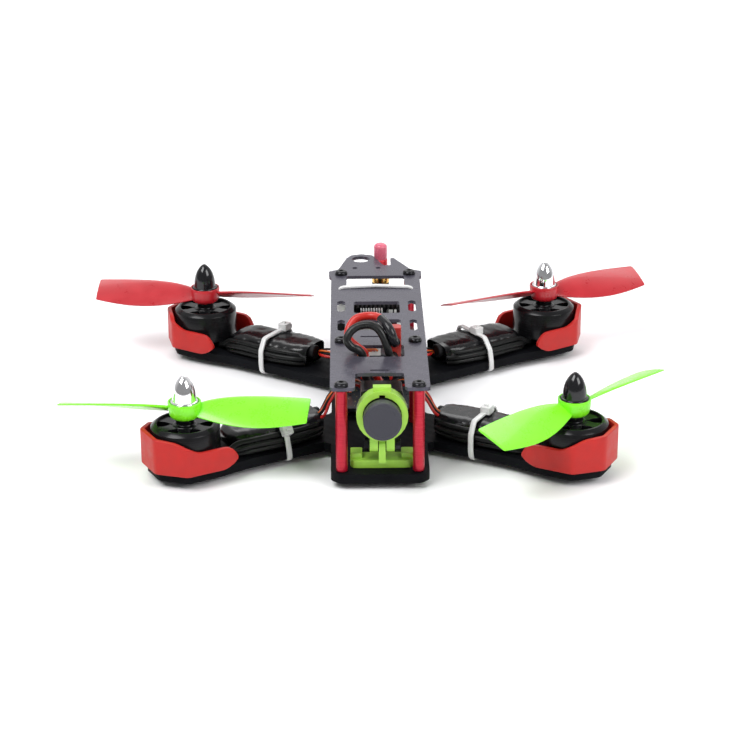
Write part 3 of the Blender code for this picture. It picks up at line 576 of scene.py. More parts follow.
def add_studio():
    """A pale floor, a bright sky that is dim behind the camera, and three softboxes."""
    world = bpy.data.worlds.new("studio")
    bpy.context.scene.world = world
    world.use_nodes = True
    tree = world.node_tree
    direction = node(tree, "ShaderNodeTexCoord").outputs["Generated"]
    settings = {0: direction, 1: SKY_BRIGHT}
    towards = node(tree, "ShaderNodeVectorMath", settings, operation="DOT_PRODUCT").outputs["Value"]
    glow = spread_of(tree, towards, 0.30, 0.85, -0.2, 0.85)
    background = tree.nodes["Background"].inputs
    background["Color"].default_value = (1, 1, 1, 1)
    tree.links.new(glow, background["Strength"])

    softbox("key", (-1.2, -1.0, 2.2), (1.5, 1.5), 56.0)
    softbox("fill", (1.6, -1.3, 1.5), (1.3, 1.3), 33.0)
    softbox("rear", (0.2, 1.9, 1.9), (2.4, 1.0), 20.0)

    made = bpy.data.materials.new("floor")
    made.use_nodes = True
    shader = made.node_tree.nodes["Principled BSDF"]
    set_sockets(shader, Base_Color=FLOOR_COLOUR, Roughness=0.65, Specular_IOR_Level=0.2)
    bm = bmesh.new()
    bmesh.ops.create_grid(bm, x_segments=1, y_segments=1, size=FLOOR_HALF)
    mesh = mesh_of(bm, "floor")
    mesh.materials.append(made)
    floor = linked("floor", mesh)
    floor.location.z = (FLOOR_Z - FLOOR_DROP) * MM

    bpy.context.scene.view_settings.view_transform = "Standard"


# ---- battery lead


LEAD_D = 3.4
# The two wires' routes, as the frame has them
LEAD_RED = [
    (2.4, -22.5, 11.2), (2.4, -26.0, 14.0), (1.0, -31.0, 21.0), (-2.0, -36.6, 29.5),
    (-5.0, -41.6, 36.6), (-6.1, -43.3, 40.4), (-9.0, -43.5, 43.1), (-12.0, -42.2, 45.6),
    (-12.5, -40.6, 48.8), (-10.4, -38.5, 52.3), (-7.5, -37.5, 53.8), (-3.0, -37.3, 54.2),
    (0.5, -39.5, 54.2), (3.1, -44.0, 53.0), (4.8, -46.6, 51.0), (5.9, -47.3, 48.0),
    (6.5, -46.0, 45.6), (6.8, -43.5, 44.9),
]
LEAD_BLACK = [
    (-2.8, -22.5, 11.2), (-2.9, -28.0, 13.6), (-3.6, -36.0, 21.0), (-5.6, -43.0, 30.0),
    (-6.4, -46.4, 37.0), (-6.6, -47.3, 40.4), (-8.2, -47.7, 43.0), (-11.1, -47.6, 44.4),
    (-13.1, -47.0, 47.2), (-11.9, -46.0, 50.0), (-9.7, -45.0, 51.8), (-6.9, -44.5, 52.8),
    (-3.4, -44.7, 53.0), (-0.6, -45.5, 51.8), (1.3, -46.4, 49.6), (2.5, -47.1, 47.0),
    (3.4, -47.6, 44.2), (4.3, -47.4, 41.2), (5.4, -45.7, 39.0), (5.9, -43.5, 38.3),
]
PLUG_PLACE = at(7.0, -40.9, 51.0) @ turn(3.0, "X")
PLUG_LENGTH = 16.0
PLUG_SHAPE = [(-2.4, -2.2), (2.4, -2.2), (2.4, 1.2), (1.3, 2.2), (-1.3, 2.2), (-2.4, 1.2)]
PLUG_FACE = -2.3
PLUG_ENTRIES = ((-0.2, -6.1), (-1.1, -12.7))  # where the wires go in, across the plug and up it
BAND_WALL = 0.25
BAND_CORNER = Vector((0.8, -39.0, 45.6))  # the band is to the left of, ahead of and above this point


def lead_wire(colour, points):
    """One wire of the battery lead, as a curve on the route's own line."""
    route = smooth_route(points, 0.9)
    data = bpy.data.curves.new(f"lead_{colour}", "CURVE")
    data.dimensions = "3D"
    data.bevel_depth = LEAD_D / 2 * MM
    data.bevel_resolution = 6
    data.use_fill_caps = True
    spline = data.splines.new("POLY")
    spline.points.add(len(route) - 1)
    for slot, point in zip(spline.points, route):
        slot.co = (*(point * MM), 1)
    spline.use_smooth = True
    data.materials.append(FINISHES[f"silicone_{colour}"])
    wire = linked(f"lead_{colour}", data)
    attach(wire, "frame")
    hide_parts(f"battery_lead_{colour}")
    return wire, route


def battery_lead():
    """Two stiff wires in a loop over the deck, a shrink band on the red one, and the plug."""
    red, red_route = lead_wire("red", LEAD_RED)
    black, black_route = lead_wire("black", LEAD_BLACK)
    body = placed(prism(rounded(PLUG_SHAPE, 0.5, 3), -PLUG_LENGTH, 0.0), PLUG_PLACE)
    plug = piece("lead_plug", body, "plug", "battery_plug", bevel=0.3, segments=3)
    sleeve = softened([(0, -0.4), (2.15, -0.4), (2.3, 0.6), (2.0, 1.3), (0, 1.3)], 0.3)
    collars = []
    for across, up in PLUG_ENTRIES:
        place = PLUG_PLACE @ at(across, PLUG_FACE, up) @ turn(90, "X")
        collars.append(placed(turned(sleeve, 24), place))
    collars = piece("lead_plug_collars", together(*collars), "wire_black")

    edge = BAND_CORNER
    along = [p for p in red_route if p.x > edge.x and p.y < edge.y and p.z > edge.z]
    band = piece("lead_band", tube(along, LEAD_D / 2 + BAND_WALL, 28, 0.8), "band")


# ---- plates and posts


STRAP_SIDE = 16.1
STRAP_Y = 35.5
STRAP_BOW = 1.7
STRAP_HALF = 1.1
STRAP_T = 0.85
POST_BORE_R = 1.65
SOCKET_R = 1.05
SOCKET_DEPTH = 0.95


def plates():
    piece("plate_lower", from_node("main_plate"), "carbon", "main_plate", smooth=30, bevel=0.25)
    piece("plate_upper", from_node("top_plate"), "deck", "top_plate", smooth=30, bevel=0.12)


def deck_strap():
    """A nylon strap threaded through the deck in front of its tail window, its ends nearer the nose."""
    low, top = DECK_LOW - 0.1, DECK_TOP + 0.1
    upper = [(STRAP_SIDE, top - 0.3), (14.2, top), (0, top + 0.3), (-14.2, top), (-STRAP_SIDE, top - 0.3)]
    inner = rounded([(-STRAP_SIDE, low), (STRAP_SIDE, low), *upper], 1.0, 4)
    outer = offset_outline(inner, STRAP_T)
    loops = []
    for y, line in ((-STRAP_HALF, inner), (STRAP_HALF, inner), (STRAP_HALF, outer), (-STRAP_HALF, outer)):
        loops.append([(x, y + STRAP_Y - STRAP_BOW * (x / STRAP_SIDE) ** 4, z) for x, z in line])
    piece("deck_strap", loft(loops, closed=True), "nylon", bevel=0.12)


def button_head(radius, height):
    """A screw's button head from z = 0 up, flat round its socket."""
    flat = SOCKET_R * 1.25
    dome = [(0, 0), (radius, 0)]
    for k in range(9):
        angle = math.radians(90 * k / 8)
        dome.append((flat + (radius - flat) * math.cos(angle), height * (0.28 + 0.72 * math.sin(angle))))
    return turned([*dome, (0, height)], 48)


def posts_and_screws():
    for row in ("front", "mid", "rear"):
        for side in ("left", "right"):
            place, radius, low, high = upright(f"standoff_{row}_{side}")
            wall = [(POST_BORE_R, low), (radius, low), (radius, high), (POST_BORE_R, high)]
            post = placed(turned(softened(wall, 0.35), 56), place)
            piece(f"post_{row}_{side}", post, "anodised", f"standoff_{row}_{side}")

            radius, high = upright(f"deck_screw_{row}_{side}")[1::2]
            seat = DECK_TOP + 0.15
            height = high - seat
            place = place @ at(0, 0, seat) @ turn(17 * place.translation.y, "Z")
            head = placed(button_head(radius, height), place)
            screw = piece(f"screw_{row}_{side}", head, "screw", f"deck_screw_{row}_{side}")
            socket = prism(circle(SOCKET_R, 6), height - SOCKET_DEPTH, height + 1)
            carve(screw, placed(socket, place))


# ---- corners


def motor_place(corner):
    return at(*JOINT_AT[f"rotor_spin_{corner}"].xy, 0)


def arm_matrix(corner):
    """From a corner's own frame to the aircraft's: +X outwards along the arm from the motor axis,
    and +Y towards the nose side."""
    axis = motor_place(corner).translation
    side_x, side_y = math.copysign(1, axis.x), math.copysign(1, axis.y)
    angle = math.radians(ARM_DEG[corner.split("_")[0]])
    out = Vector((side_x * math.cos(angle), side_y * math.sin(angle), 0))
    nose = Vector((side_x * side_y * math.sin(angle), -math.cos(angle), 0))
    return Matrix.Translation(axis) @ Matrix((out, nose, TOP)).transposed().to_4x4()


def turns_left(corner):
    return corner in ("front_right", "rear_left")


ARM_END_R = 16.2
GUARD_GAP = 0.3
GUARD_T = 1.9
GUARD_TAIL = -15.3
GUARD_SIDE_Z = 13.3
GUARD_RISE = 4.9
GUARD_FALL = 4.5


def guard_top(x):
    """Height of a guard's upper edge, by distance out from the motor axis."""
    rise = min(1.0, max(0.0, x / 11.5))
    fall = max(0.0, (-9.0 - x) / 6.3)
    slope = 0.15 * max(0.0, x - 11.5)
    return GUARD_SIDE_Z + GUARD_RISE * rise * rise * (3.0 - 2.0 * rise) + slope - GUARD_FALL * fall**3


def guard(corner):
    """A moulded band round the arm's end, open towards the body and high at its outer end."""
    low_z = span(f"motor_guard_{corner}")[0].z
    radius = ARM_END_R + GUARD_GAP / math.cos(math.radians(22.5))
    angles = [math.radians(a) for a in (112.5, 67.5, 22.5)]
    tip = [(radius * math.cos(a), radius * math.sin(a)) for a in angles]
    inner = [(GUARD_TAIL, 14.9), (-13.0, 15.3), *tip]
    inner += [(x, -y) for x, y in reversed(inner)]
    corners = softened(inner, 1.6, 4)
    path = []
    for one, two in zip(corners, corners[1:]):
        a, b = Vector(one), Vector(two)
        count = max(1, round((b - a).length / 1.3))
        path += [a.lerp(b, k / count) for k in range(count)]
    path.append(Vector(corners[-1]))
    sections = []
    for i, here in enumerate(path):
        along = (path[min(i + 1, len(path) - 1)] - path[max(i - 1, 0)]).normalized()
        out = Vector((-along.y, along.x))
        low = low_z + 3.6 * max(0.0, (-8.0 - here.x) / 7.3) ** 2
        wall = rounded(rectangle(0, GUARD_T, low, guard_top(here.x)), 0.45, 3)
        sections.append([(here.x + out.x * d, here.y + out.y * d, z) for d, z in wall])
    band = placed(loft(sections), arm_matrix(corner))
    piece(f"guard_{corner}", band, "guard", f"motor_guard_{corner}", smooth=28, bevel=0.3)


# A motor's heights above the lower plate's underside, and its radii
BASE_R = 10.4
TOWER_R = 4.0
TEETH = 12
CORE_Z = (8.4, 14.8)
COIL_Z = (7.4, 15.8)
MAGNETS = 14
MAGNET_Z = (7.4, 16.6)
BELL_Z = 6.6
BELL_SIDE = 19.2
BELL_TOP = 20.6
SPOKES = 6
SPOKE_Z = (17.6, 19.7)
HUB_LOW = 17.5
COLLAR_R = 3.7
COLLAR_TOP = 22.4
SHAFT_R = 2.4
SHAFT_TOP = 31.0


def stator(corner):
    """The motor's fixed half: base, laminated core and wound teeth."""
    centre = motor_place(corner)
    low, high = upright(f"motor_stator_{corner}")[2:]
    base = [(1.9, low), (BASE_R, low), (BASE_R, 5.9), (5.2, 6.3), (TOWER_R, 6.6), (TOWER_R, high)]
    base = turned(softened([*base, (1.9, high)], 0.3), 48)
    piece(f"motor_base_{corner}", placed(base, centre), "black_metal", f"motor_stator_{corner}")
    core, coils = [], []
    for k in range(TEETH):
        spin = turn(360 / TEETH * k + 7, "Z")
        core.append(placed(box(TOWER_R, 11.1, -0.7, 0.7, *CORE_Z), spin))
        core.append(placed(box(11.1, 11.7, -2.3, 2.3, *CORE_Z), spin))
        coils.append(placed(prism(rounded(rectangle(5.2, 10.6, -1.75, 1.75), 0.8, 3), *COIL_Z), spin))
    piece(f"motor_core_{corner}", placed(together(*core), centre), "steel")
    piece(f"motor_coils_{corner}", placed(together(*coils), centre), "windings", bevel=0.5)


def bell(corner):
    """The turning can with its magnets, its spoked top, its shaft and the propeller collar."""
    body = f"rotor_{corner}"
    centre = motor_place(corner)
    radius = upright(f"motor_bell_{corner}")[1]
    inside = radius - 2.8
    can = [(radius - 1.5, BELL_Z), (radius - 0.5, BELL_Z), (radius, BELL_Z + 0.5)]
    can += [(radius, BELL_SIDE - 0.1), (radius - 0.12, BELL_SIDE + 0.1), (radius - 1.75, BELL_TOP - 0.12)]
    can += [(radius - 1.95, BELL_TOP), (radius - 2.6, BELL_TOP), (inside, BELL_TOP - 0.5)]
    can += [(inside, BELL_TOP - 2.4), (radius - 1.5, BELL_TOP - 3.6)]
    hub = [(0, HUB_LOW), (5.6, HUB_LOW), (5.6, 19.4), (5.2, 19.9), (3.9, 20.1), (COLLAR_R, 20.4)]
    hub += [(COLLAR_R, COLLAR_TOP - 0.3), (COLLAR_R - 0.3, COLLAR_TOP), (SHAFT_R, COLLAR_TOP)]
    hub += [(SHAFT_R, SHAFT_TOP), (0, SHAFT_TOP)]
    parts = [turned(can, 96), turned(softened(hub, 0.2), 48)]
    arm = softened([(5.0, -2.7), (8.0, -2.2), (12.0, -3.4), (12.0, 3.4), (8.0, 2.2), (5.0, 2.7)], 1.2, 3)
    for k in range(SPOKES):
        parts.append(placed(prism(arm, *SPOKE_Z), turn(360 / SPOKES * k + 30, "Z")))
    piece(f"bell_{corner}", placed(together(*parts), centre), "black_metal", f"motor_bell_{corner}", body,
          bevel=0.12)
    magnets = []
    for k in range(MAGNETS):
        bar = box(radius - 2.3, radius - 1.45, -2.35, 2.35, *MAGNET_Z)
        magnets.append(placed(bar, turn(360 / MAGNETS * k, "Z")))
    piece(f"magnets_{corner}", placed(together(*magnets), centre), "magnet", body=body)


PROP_DEG = {"front_left": 46.2, "front_right": -7.1, "rear_left": 21.0, "rear_right": -4.6}
PROP_R = 50.6
BLADE_Z = 26.2
BLADE_ROOT_DEG = 34.5
BLADE_TIP_DEG = 19.0
BLADE_ROOT_T = 1.7
BLADE_THINS = 0.8
TIP_ROUND = 0.8
HUB_BORE_R = 2.7
HUB_Z = 22.7
HUB_SEAT = 28.9
HUB_TOP = 29.8
HUB_R = 6.8
HUB_RIM_T = 0.75
NUT_R = 5.65
NUT_FLANGE = 1.1
NOSE_R = 4.9


def blade_section(radius, spin):
    """The blade's airfoil at a distance out, as a closed loop of points."""
    trim = max(0.0, radius - (PROP_R - TIP_ROUND)) / TIP_ROUND
    corner = 0.9 * (1 - math.sqrt(max(0.0, 1 - trim**2)))
    ahead = 9.3 * (1 - math.exp(-radius / 13.0)) - corner
    behind = 3.2 + 5.3 * math.sin(math.pi * (radius - 4.0) / 54.0) - 0.4 * corner
    chord = ahead + behind
    angle = math.radians(BLADE_ROOT_DEG + (BLADE_TIP_DEG - BLADE_ROOT_DEG) * radius / PROP_R)
    thick = BLADE_ROOT_T - BLADE_THINS * radius / PROP_R
    upper, lower = [], []
    count = 14
    for k in range(count + 1):
        t = (1 - math.cos(math.pi * k / count)) / 2
        camber = 0.03 * chord * (1 - (2 * t - 0.85) ** 2 / 1.35)
        half = thick * 0.5 * (1.5 * math.sqrt(t) * (1 - t) ** 0.75 + 0.34)
        upper.append((t, camber + half))
        lower.append((t, camber - half))
    points = []
    for t, up in [*upper, *reversed(lower)]:
        forward = ahead - t * chord
        y = forward * math.cos(angle) - up * math.sin(angle)
        z = forward * math.sin(angle) + up * math.cos(angle)
        points.append((radius, spin * y, BLADE_Z + z))
    return points


def propeller(corner):
    """Two blades on a cup-shaped hub."""
    rim = HUB_R - HUB_RIM_T
    cup = [(HUB_BORE_R, HUB_Z), (4.3, HUB_Z), (5.2, 22.95), (5.9, 23.6), (6.35, 24.6), (6.6, 26.0)]
    cup += [(6.75, 28.0), (HUB_R, HUB_TOP - 0.2), (HUB_R - 0.15, HUB_TOP), (HUB_R - 0.6, HUB_TOP)]
    cup += [(rim, HUB_TOP - 0.15), (rim, HUB_SEAT), (HUB_BORE_R, HUB_SEAT)]
    parts = [turned(cup, 64)]
    spin = 1 if turns_left(corner) else -1
    stations = [3.6 + 1.4 * k for k in range(33)]
    stations += [PROP_R - TIP_ROUND * (1 - math.sin(math.radians(a))) for a in (0, 30, 55, 75, 90)]
    for half_turn in (0, 180):
        blade = loft([blade_section(r, spin) for r in stations])
        parts.append(placed(blade, turn(half_turn, "Z")))
    place = motor_place(corner) @ turn(PROP_DEG[corner], "Z")
    whole = placed(together(*parts), place)
    finish = "lime" if corner.startswith("front") else "prop_red"
    piece(f"prop_{corner}", whole, finish, f"propeller_{corner}", f"rotor_{corner}", smooth=50)


def nut(corner):
    """A spinner nut: a flange and a pointed bullet nose. The two that turn left are bare metal."""
    low, high = upright(f"prop_nut_{corner}")[2:]
    flange = [(0, 0), (NUT_R - 0.1, 0), (NUT_R, 0.2), (NUT_R, 0.7), (5.4, 1.0), (4.95, NUT_FLANGE)]
    profile = [(r, low + up) for r, up in flange]
    count = 16
    length = high - low - NUT_FLANGE
    for k in range(1, count):
        t = k / count
        profile.append((NOSE_R * (1 - t**2.2) ** 0.62, low + NUT_FLANGE + length * t))
    profile += [(0.7, high - 0.05), (0, high)]
    whole = placed(turned(profile, 72), motor_place(corner))
    finish = "silver" if turns_left(corner) else "gunmetal"
    piece(f"nut_{corner}", whole, finish, f"prop_nut_{corner}", f"rotor_{corner}", smooth=40)


ARM_SEED = {"front_left": 3.1, "front_right": 11.7, "rear_left": 23.9, "rear_right": 42.3}
WRAP_Y = -1.0
WRAP_UP = 5.0
WRAP_POINTS = 56
WRAP_CREASE = 0.5
# The sleeve's distance out, half width and half height, from the motor's end inwards
WRAP_SHAPE = [(-18.0, 5.4, 2.4), (-19.2, 7.2, 3.4), (-21.0, 8.9, 4.2), (-25.0, 9.5, 4.7), (-40.0, 9.6, 4.8),
              (-53.0, 9.6, 4.8), (-58.0, 8.6, 4.7), (-60.2, 7.6, 4.4)]
MOTOR_WIRE_R = 1.28


def wrap_section(x, half_wide, half_high, seed):
    """A crumpled rounded rectangle across the arm."""
    ring = []
    for k in range(WRAP_POINTS):
        a = 2 * math.pi * k / WRAP_POINTS
        c, s = math.cos(a), math.sin(a)
        squareness = (abs(c) ** 3.4 + abs(s) ** 3.4) ** (-1 / 3.4)
        dent = WRAP_CREASE * noise.noise(Vector((x * 0.12 + seed, c * 1.6, s * 1.6)))
        dent += WRAP_CREASE * 0.6 * noise.noise(Vector((x * 0.45 - seed, c * 3.0, s * 3.0)))
        reach = squareness * (1 + dent / max(half_wide, half_high))
        ring.append((x, WRAP_Y + half_wide * reach * c, PLATE_TOP + WRAP_UP + half_high * reach * s))
    return ring


def controller(corner):
    """The speed controller in its sleeve, the three motor wires beside it and its capacitor."""
    matrix = arm_matrix(corner)
    seed = ARM_SEED[corner]
    mid = PLATE_TOP + WRAP_UP
    sections = []
    for one, two in zip(WRAP_SHAPE, WRAP_SHAPE[1:]):
        steps = max(1, round((one[0] - two[0]) / 0.8))
        for k in range(steps):
            t = k / steps
            sections.append(wrap_section(*[a * (1 - t) + b * t for a, b in zip(one, two)], seed))
    last = wrap_section(*WRAP_SHAPE[-1], seed)
    sections.append(last)
    for dx, f in ((0.1, 0.9), (2.2, 0.86)):
        sections.append([(x + dx, WRAP_Y + (y - WRAP_Y) * f, mid + (z - mid) * f) for x, y, z in last])
    sleeve = placed(loft(sections), matrix)
    piece(f"controller_{corner}", sleeve, "wrap", f"speed_controller_{corner}", smooth=60)

    can = [(0, 0), (2.9, 0), (3.15, 0.3), (3.15, 9.0), (2.9, 9.4), (2.5, 9.4), (2.4, 9.1), (0, 9.1)]
    lie = matrix @ at(-53.0, 1.2 if corner.startswith("rear") else -2.4, mid + 1.2) @ turn(-90, "Y")
    piece(f"capacitor_{corner}", placed(turned(softened(can, 0.2), 40), lie), "matte_black", smooth=40)

    wires = []
    for k, (y, z) in enumerate(((9.6, 5.9), (10.3, 8.3), (8.9, 10.2))):
        wobble = [0.35 * noise.noise(Vector((seed, k * 5.1, s * 1.7))) for s in range(8)]
        path = [(-11.3, 1.2 + 1.9 * k, 5.4), (-15.0, 4.4 + 1.6 * k, 5.9 + 0.3 * k)]
        path += [(-19.5, y - 1.2, z - 0.9 + wobble[0]), (-27.0, y + wobble[1], z + wobble[2])]
        path += [(-38.0, y + 0.3 + wobble[3], z + wobble[4]), (-48.0, y + wobble[5], z + wobble[6])]
        path += [(-55.5, y - 1.6, z - 0.2), (-59.0, y - 4.0, z - 0.6)]
        lowest = PLATE_TOP + MOTOR_WIRE_R + 0.07
        wires.append(tube([(px, py, max(lowest, pz)) for px, py, pz in path], MOTOR_WIRE_R, 14, 1.4))
    piece(f"motor_wires_{corner}", placed(together(*wires), matrix), "wire_black", smooth=60)


POWER_R = 0.68
SIGNAL_R = 0.42
FEED = [("red", POWER_R), ("black", POWER_R), ("orange", SIGNAL_R), ("yellow", SIGNAL_R), ("red", SIGNAL_R),
        ("black", SIGNAL_R), ("orange", SIGNAL_R), ("red", SIGNAL_R)]


# The bundles' ways into the body: x, y, how far the wires fan out in y, and z
FEED_WAYS = {
    "front": [(24.0, -43.5, 0.8, 13.5), (20.5, -43.0, 0.9, 19.5), (16.0, -41.5, 0.9, 24.0),
              (10.0, -37.5, 0.7, 24.5), (5.5, -31.0, 0.4, 18.5), (4.0, -24.0, 0.4, 10.0)],
    "rear": [(24.0, 34.0, 0.7, 9.6), (19.0, 31.0, 0.9, 10.4), (14.0, 27.5, 0.9, 10.6),
             (9.0, 22.0, 0.8, 9.4), (6.5, 14.0, 0.6, 9.2), (6.0, 7.5, 0.6, 9.0)],
}


def feed_routes(corner):
    """The thin wires from a controller's inner end into the body, by colour."""
    matrix = arm_matrix(corner)
    side = math.copysign(1, matrix.translation.x)
    routes = []
    for k, (colour, radius) in enumerate(FEED):
        spread = (k - 3.5) * 0.95
        start = matrix @ Vector((-58.5, -2.0 + spread * 1.3, 7.2 + 0.5 * (k % 3)))
        wave = [noise.noise(Vector((ARM_SEED[corner] + 7 * k, s * 2.3, 0.5))) * 1.7 for s in range(6)]
        path = [start]
        for i, (x, y, fan, z) in enumerate(FEED_WAYS[corner.split("_")[0]]):
            sway, up = wave[(i + 2) % 6] * 0.6, 0.8 * (k % 3) + wave[(i + 4) % 6] * 0.6
            path.append(Vector((side * x + wave[i] * 0.5, y + spread * fan + sway, z + up)))
        routes.append((colour, radius, path))
    return routes


def feeds():
    """All controllers' thin wires, joined by colour at each corner."""
    for corner in CORNERS:
        by_colour = {}
        for colour, radius, path in feed_routes(corner):
            by_colour.setdefault(colour, []).append(tube(path, radius, 10, 1.2))
        for colour, tubes in by_colour.items():
            piece(f"feed_{colour}_{corner}", together(*tubes), f"wire_{colour}", smooth=60)


TIE_X = -40.0
TIE_SIDE = 13.0
TIE_T = 1.0
TIE_HALF = 1.1
TIE_HEADS = {"front_left": -2.5, "front_right": 10.6, "rear_left": 2.0, "rear_right": -6.5}


def zip_tie(corner):
    """A nylon strap with raised edges, pulled tight round the arm, its head, and the cut end."""
    top = PLATE_TOP + 10.3
    inner = [(-TIE_SIDE, -0.2), (TIE_SIDE, -0.2), (TIE_SIDE, 4.4), (12.3, 9.6), (8.8, top), (-9.8, top)]
    inner = rounded([*inner, (-11.8, 10.4), (-TIE_SIDE, 4.4)], 2.2, 5)
    outer = offset_outline(inner, TIE_T)
    near_inner = offset_outline(inner, TIE_T * 0.15)
    near_outer = offset_outline(inner, TIE_T * 0.85)
    lean = math.tan(math.radians(5.0 if corner.endswith("right") else -4.0))
    edge = TIE_HALF - 0.2
    lines = [(-TIE_HALF, near_inner), (-edge, inner), (edge, inner), (TIE_HALF, near_inner)]
    lines += [(TIE_HALF, near_outer), (edge, outer), (-edge, outer), (-TIE_HALF, near_outer)]
    loops = [[(x + lean * (z - 7.0), y, z) for y, z in line] for x, line in lines]
    place = arm_matrix(corner) @ at(TIE_X, 0, 0)
    piece(f"tie_{corner}", placed(loft(loops, closed=True), place), "nylon", f"zip_tie_{corner}", smooth=50)

    block = prism(rounded(rectangle(-2.2, 2.2, -2.4, 2.4), 0.7, 4), 0.1, 3.4)
    lip = prism(rounded(rectangle(-1.9, 1.9, -3.6, -2.3), 0.4, 3), 0.2, 2.2)
    stub = placed(box(-1.0, 1.0, -0.5, 0.5, 3.0, 5.2), at(0, 0.6, -0.9))
    head_y = TIE_HEADS[corner]
    seat = at(0, 10.6, 12.0) @ turn(-53, "X") if head_y > 8 else at(0, head_y, top)
    head = placed(together(block, lip, stub), place @ seat)
    piece(f"tie_head_{corner}", head, "nylon", bevel=0.3, segments=3)


def foot(corner):
    place, radius, low, high = upright(f"rubber_foot_{corner}")
    pad = [(0, low), (radius - 0.6, low), (radius, low + 0.5), (radius, high), (0, high)]
    pad = turned(softened(pad, 0.3), 48)
    piece(f"foot_{corner}", placed(pad, place), "rubber", f"rubber_foot_{corner}")


# ---- camera unit


CAMERA_TILT = 7.0
LENS_UP = 13.6
LENS_R = 6.4
FOCUS_Z = 7.0
FOCUS_PITCH = 0.5
CAP_R = 7.7
CAP_BORE_R = 6.8
CAP_Z = (8.5, 15.0)


def nose_camera():
    """The mount bar and stem, the ring with its ears, the case, the lens and its cap."""
    piece("mount_bar", from_node("camera_base"), "mount", "camera_base", smooth=25, bevel=0.3, segments=3)
    piece("mount_screw", from_node("camera_pivot_screw"), "screw", "camera_pivot_screw", bevel=0.12)
    piece("mount_ring", from_node("camera_ring"), "mount", "camera_ring", "camera", smooth=25, bevel=0.25,
          segments=3)
    piece("camera_shell", from_node("camera_case"), "black_plastic", "camera_case", "camera", smooth=25,
          bevel=0.4, segments=3)

    pivot = Matrix.Translation(JOINT_AT["camera_tilt"])
    place = pivot @ turn(-CAMERA_TILT, "X") @ at(0, 0, LENS_UP) @ turn(90, "X")
    barrel = [(0, -1.4), (7.3, -1.4), (7.3, 4.9), (LENS_R, 5.3), (LENS_R, FOCUS_Z)]
    for k in range(9):
        groove = FOCUS_Z + FOCUS_PITCH * k
        barrel += [(LENS_R, groove + 0.15), (LENS_R - 0.25, groove + 0.3)]
    barrel += [(LENS_R, 12.7), (6.1, 13.1), (5.5, 13.1), (4.6, 12.3), (0, 12.3)]
    piece("lens_barrel", placed(turned(barrel, 72), place), "black_plastic", "camera_lens", "camera")
    low, high = CAP_Z
    cap = [(0, high - 1.5), (CAP_BORE_R, high - 1.5), (CAP_BORE_R, low), (CAP_R, low), (CAP_R, high - 0.45)]
    cap += [(CAP_R - 0.4, high), (6.2, high), (6.0, high - 0.1), (0, high - 0.1)]
    cap = placed(turned(softened(cap, 0.25), 80), place)
    piece("cap_lens", cap, "slate", "lens_cap", "lens_cap")


# ---- boards and aerial


BOARD_TOP = 18.6
PIN_HALF = 0.3


def boards():
    piece("board_power", from_node("power_board"), "board", "power_board", bevel=0.1)
    piece("board_flight", from_node("flight_controller"), "board", "flight_controller", bevel=0.1)


def connectors():
    """The white comb, the black headers with their pins, two white sockets and three loose wires."""
    comb = [box(-7.1, 3.3, 39.1, 42.9, BOARD_TOP, 25.8), box(-6.9, 3.1, 40.0, 42.7, 25.7, 27.4)]
    for k in range(9):
        x = 1.18 * k - 6.6
        comb.append(box(x - PIN_HALF, x + PIN_HALF, 39.0, 42.8, 25.6, 28.3))
    piece("comb_connector", together(*comb), "white_plastic", bevel=0.12)
    headers = [box(-15.0, -8.2, 40.0, 42.5, BOARD_TOP, 26.5), box(4.4, 12.5, 40.0, 42.5, BOARD_TOP, 26.0)]
    for x in (-13.8, -11.3, -8.8, 5.6, 8.1, 10.6):
        headers.append(box(x - PIN_HALF, x + PIN_HALF, 40.9, 41.5, 26.0, 30.5))
    piece("header_strips", together(*headers), "black_plastic", bevel=0.15)
    hook = [box(-3.5, 1.7, 7.9, 12.1, BOARD_TOP, 23.0)]
    hook += [box(x0, x1, 7.8, 12.2, 22.4, 24.6) for x0, x1 in ((-3.5, -2.3), (0.3, 1.7))]
    piece("hook_connector", together(*hook), "white_plastic", bevel=0.15)
    piece("side_connector", box(9.4, 13.6, 29.4, 32.6, BOARD_TOP, 25.0), "white_plastic", bevel=0.2)
    links = []
    for k in range(3):
        route = [(1.2 * k - 2.2, 8.0, 21.0), (k - 3.6, 5.6, 21.8 + 0.5 * k), (0.8 * k - 8.0, 4.0, 22.4)]
        route += [(0.8 * k - 12.4, 0.0, 19.0), (1.1 * k - 14.0, -6.0, 12.0), (1.1 * k - 14.0, -10.0, 8.6)]
        links.append(tube(route, 0.5, 10))
    piece("link_red", links.pop(1), "wire_red", smooth=60)
    piece("link_orange", together(*links), "wire_orange", smooth=60)


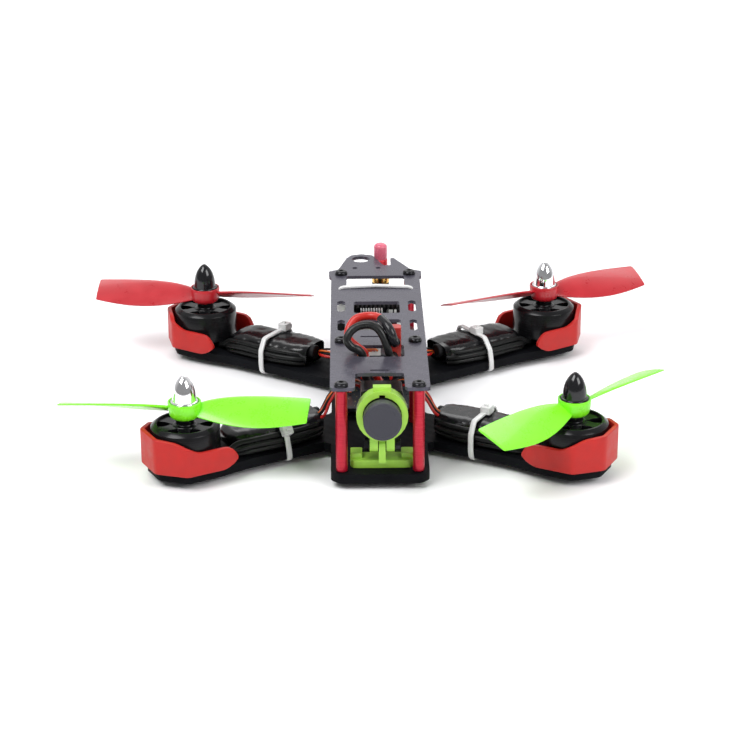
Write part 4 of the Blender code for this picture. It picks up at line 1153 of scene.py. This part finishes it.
def sender():
    """The video transmitter with its cooling fins, its blank label and its aerial socket."""
    case = from_node("video_transmitter")
    case = piece("sender_case", case, "matte_black", "video_transmitter", bevel=0.1)
    grooves = [box(x - 0.55, x + 0.55, 45.0, 49.2, 17.6, 28.0) for x in range(-11, 12, 2)]
    carve(case, together(*grooves))
    piece("sender_label", box(5.2, 9.6, 45.1, 45.5, 21.0, 26.4), "white_plastic")
    flange = [(2.4, 23.9), (4.05, 23.9), (4.05, 25.2), (3.4, 25.6), (3.4, 27.4), (4.05, 27.8)]
    flange = softened([*flange, (4.05, 31.05), (2.4, 31.05)], 0.2)
    piece("aerial_socket", placed(turned(flange, 48), upright("antenna_cap")[0]), "gold")


def receiver():
    """The radio receiver, with a blank label on its top."""
    low, high = span("radio_receiver")
    case = from_node("radio_receiver")
    piece("receiver_case", case, "matte_black", "radio_receiver", bevel=0.35, segments=3)
    label = box(low.x + 0.4, high.x - 0.4, low.y - 0.1, high.y - 0.4, high.z - 3.4, high.z + 0.1)
    piece("receiver_label", label, "white_plastic", bevel=0.1)


def aerial_cap():
    """A red vinyl cap: an open skirt over the socket, and a paler round tip."""
    place, radius, low, high = upright("antenna_cap")
    split = low + (high - low) * 0.5
    skirt = [(2.62, low), (radius, low), (radius, split - 0.3), (radius - 0.25, split), (2.3, split)]
    skirt = turned(softened([*skirt, (2.3, split - 0.4), (2.62, split - 0.8)], 0.15), 48)
    piece("aerial_skirt", placed(skirt, place), "vinyl", "antenna_cap", "antenna_cap")
    tip_r, tip_round = radius - 0.2, 2.0
    dome = [(0, split + 0.05), (tip_r - 0.15, split + 0.05), (tip_r, split + 0.5)]
    for k in range(8):
        a = math.radians(90 * k / 8)
        dome.append((tip_r * math.cos(a), high - tip_round + tip_round * math.sin(a)))
    dome.append((0, high))
    piece("aerial_tip", placed(turned(dome, 48), place), "vinyl_tip", body="antenna_cap")


# ---- the whole


add_camera()
add_studio()
battery_lead()
plates()
deck_strap()
posts_and_screws()
for each in CORNERS:
    guard(each)
    stator(each)
    bell(each)
    propeller(each)
    nut(each)
    controller(each)
    zip_tie(each)
    foot(each)
feeds()
nose_camera()
boards()
connectors()
sender()
receiver()
aerial_cap()
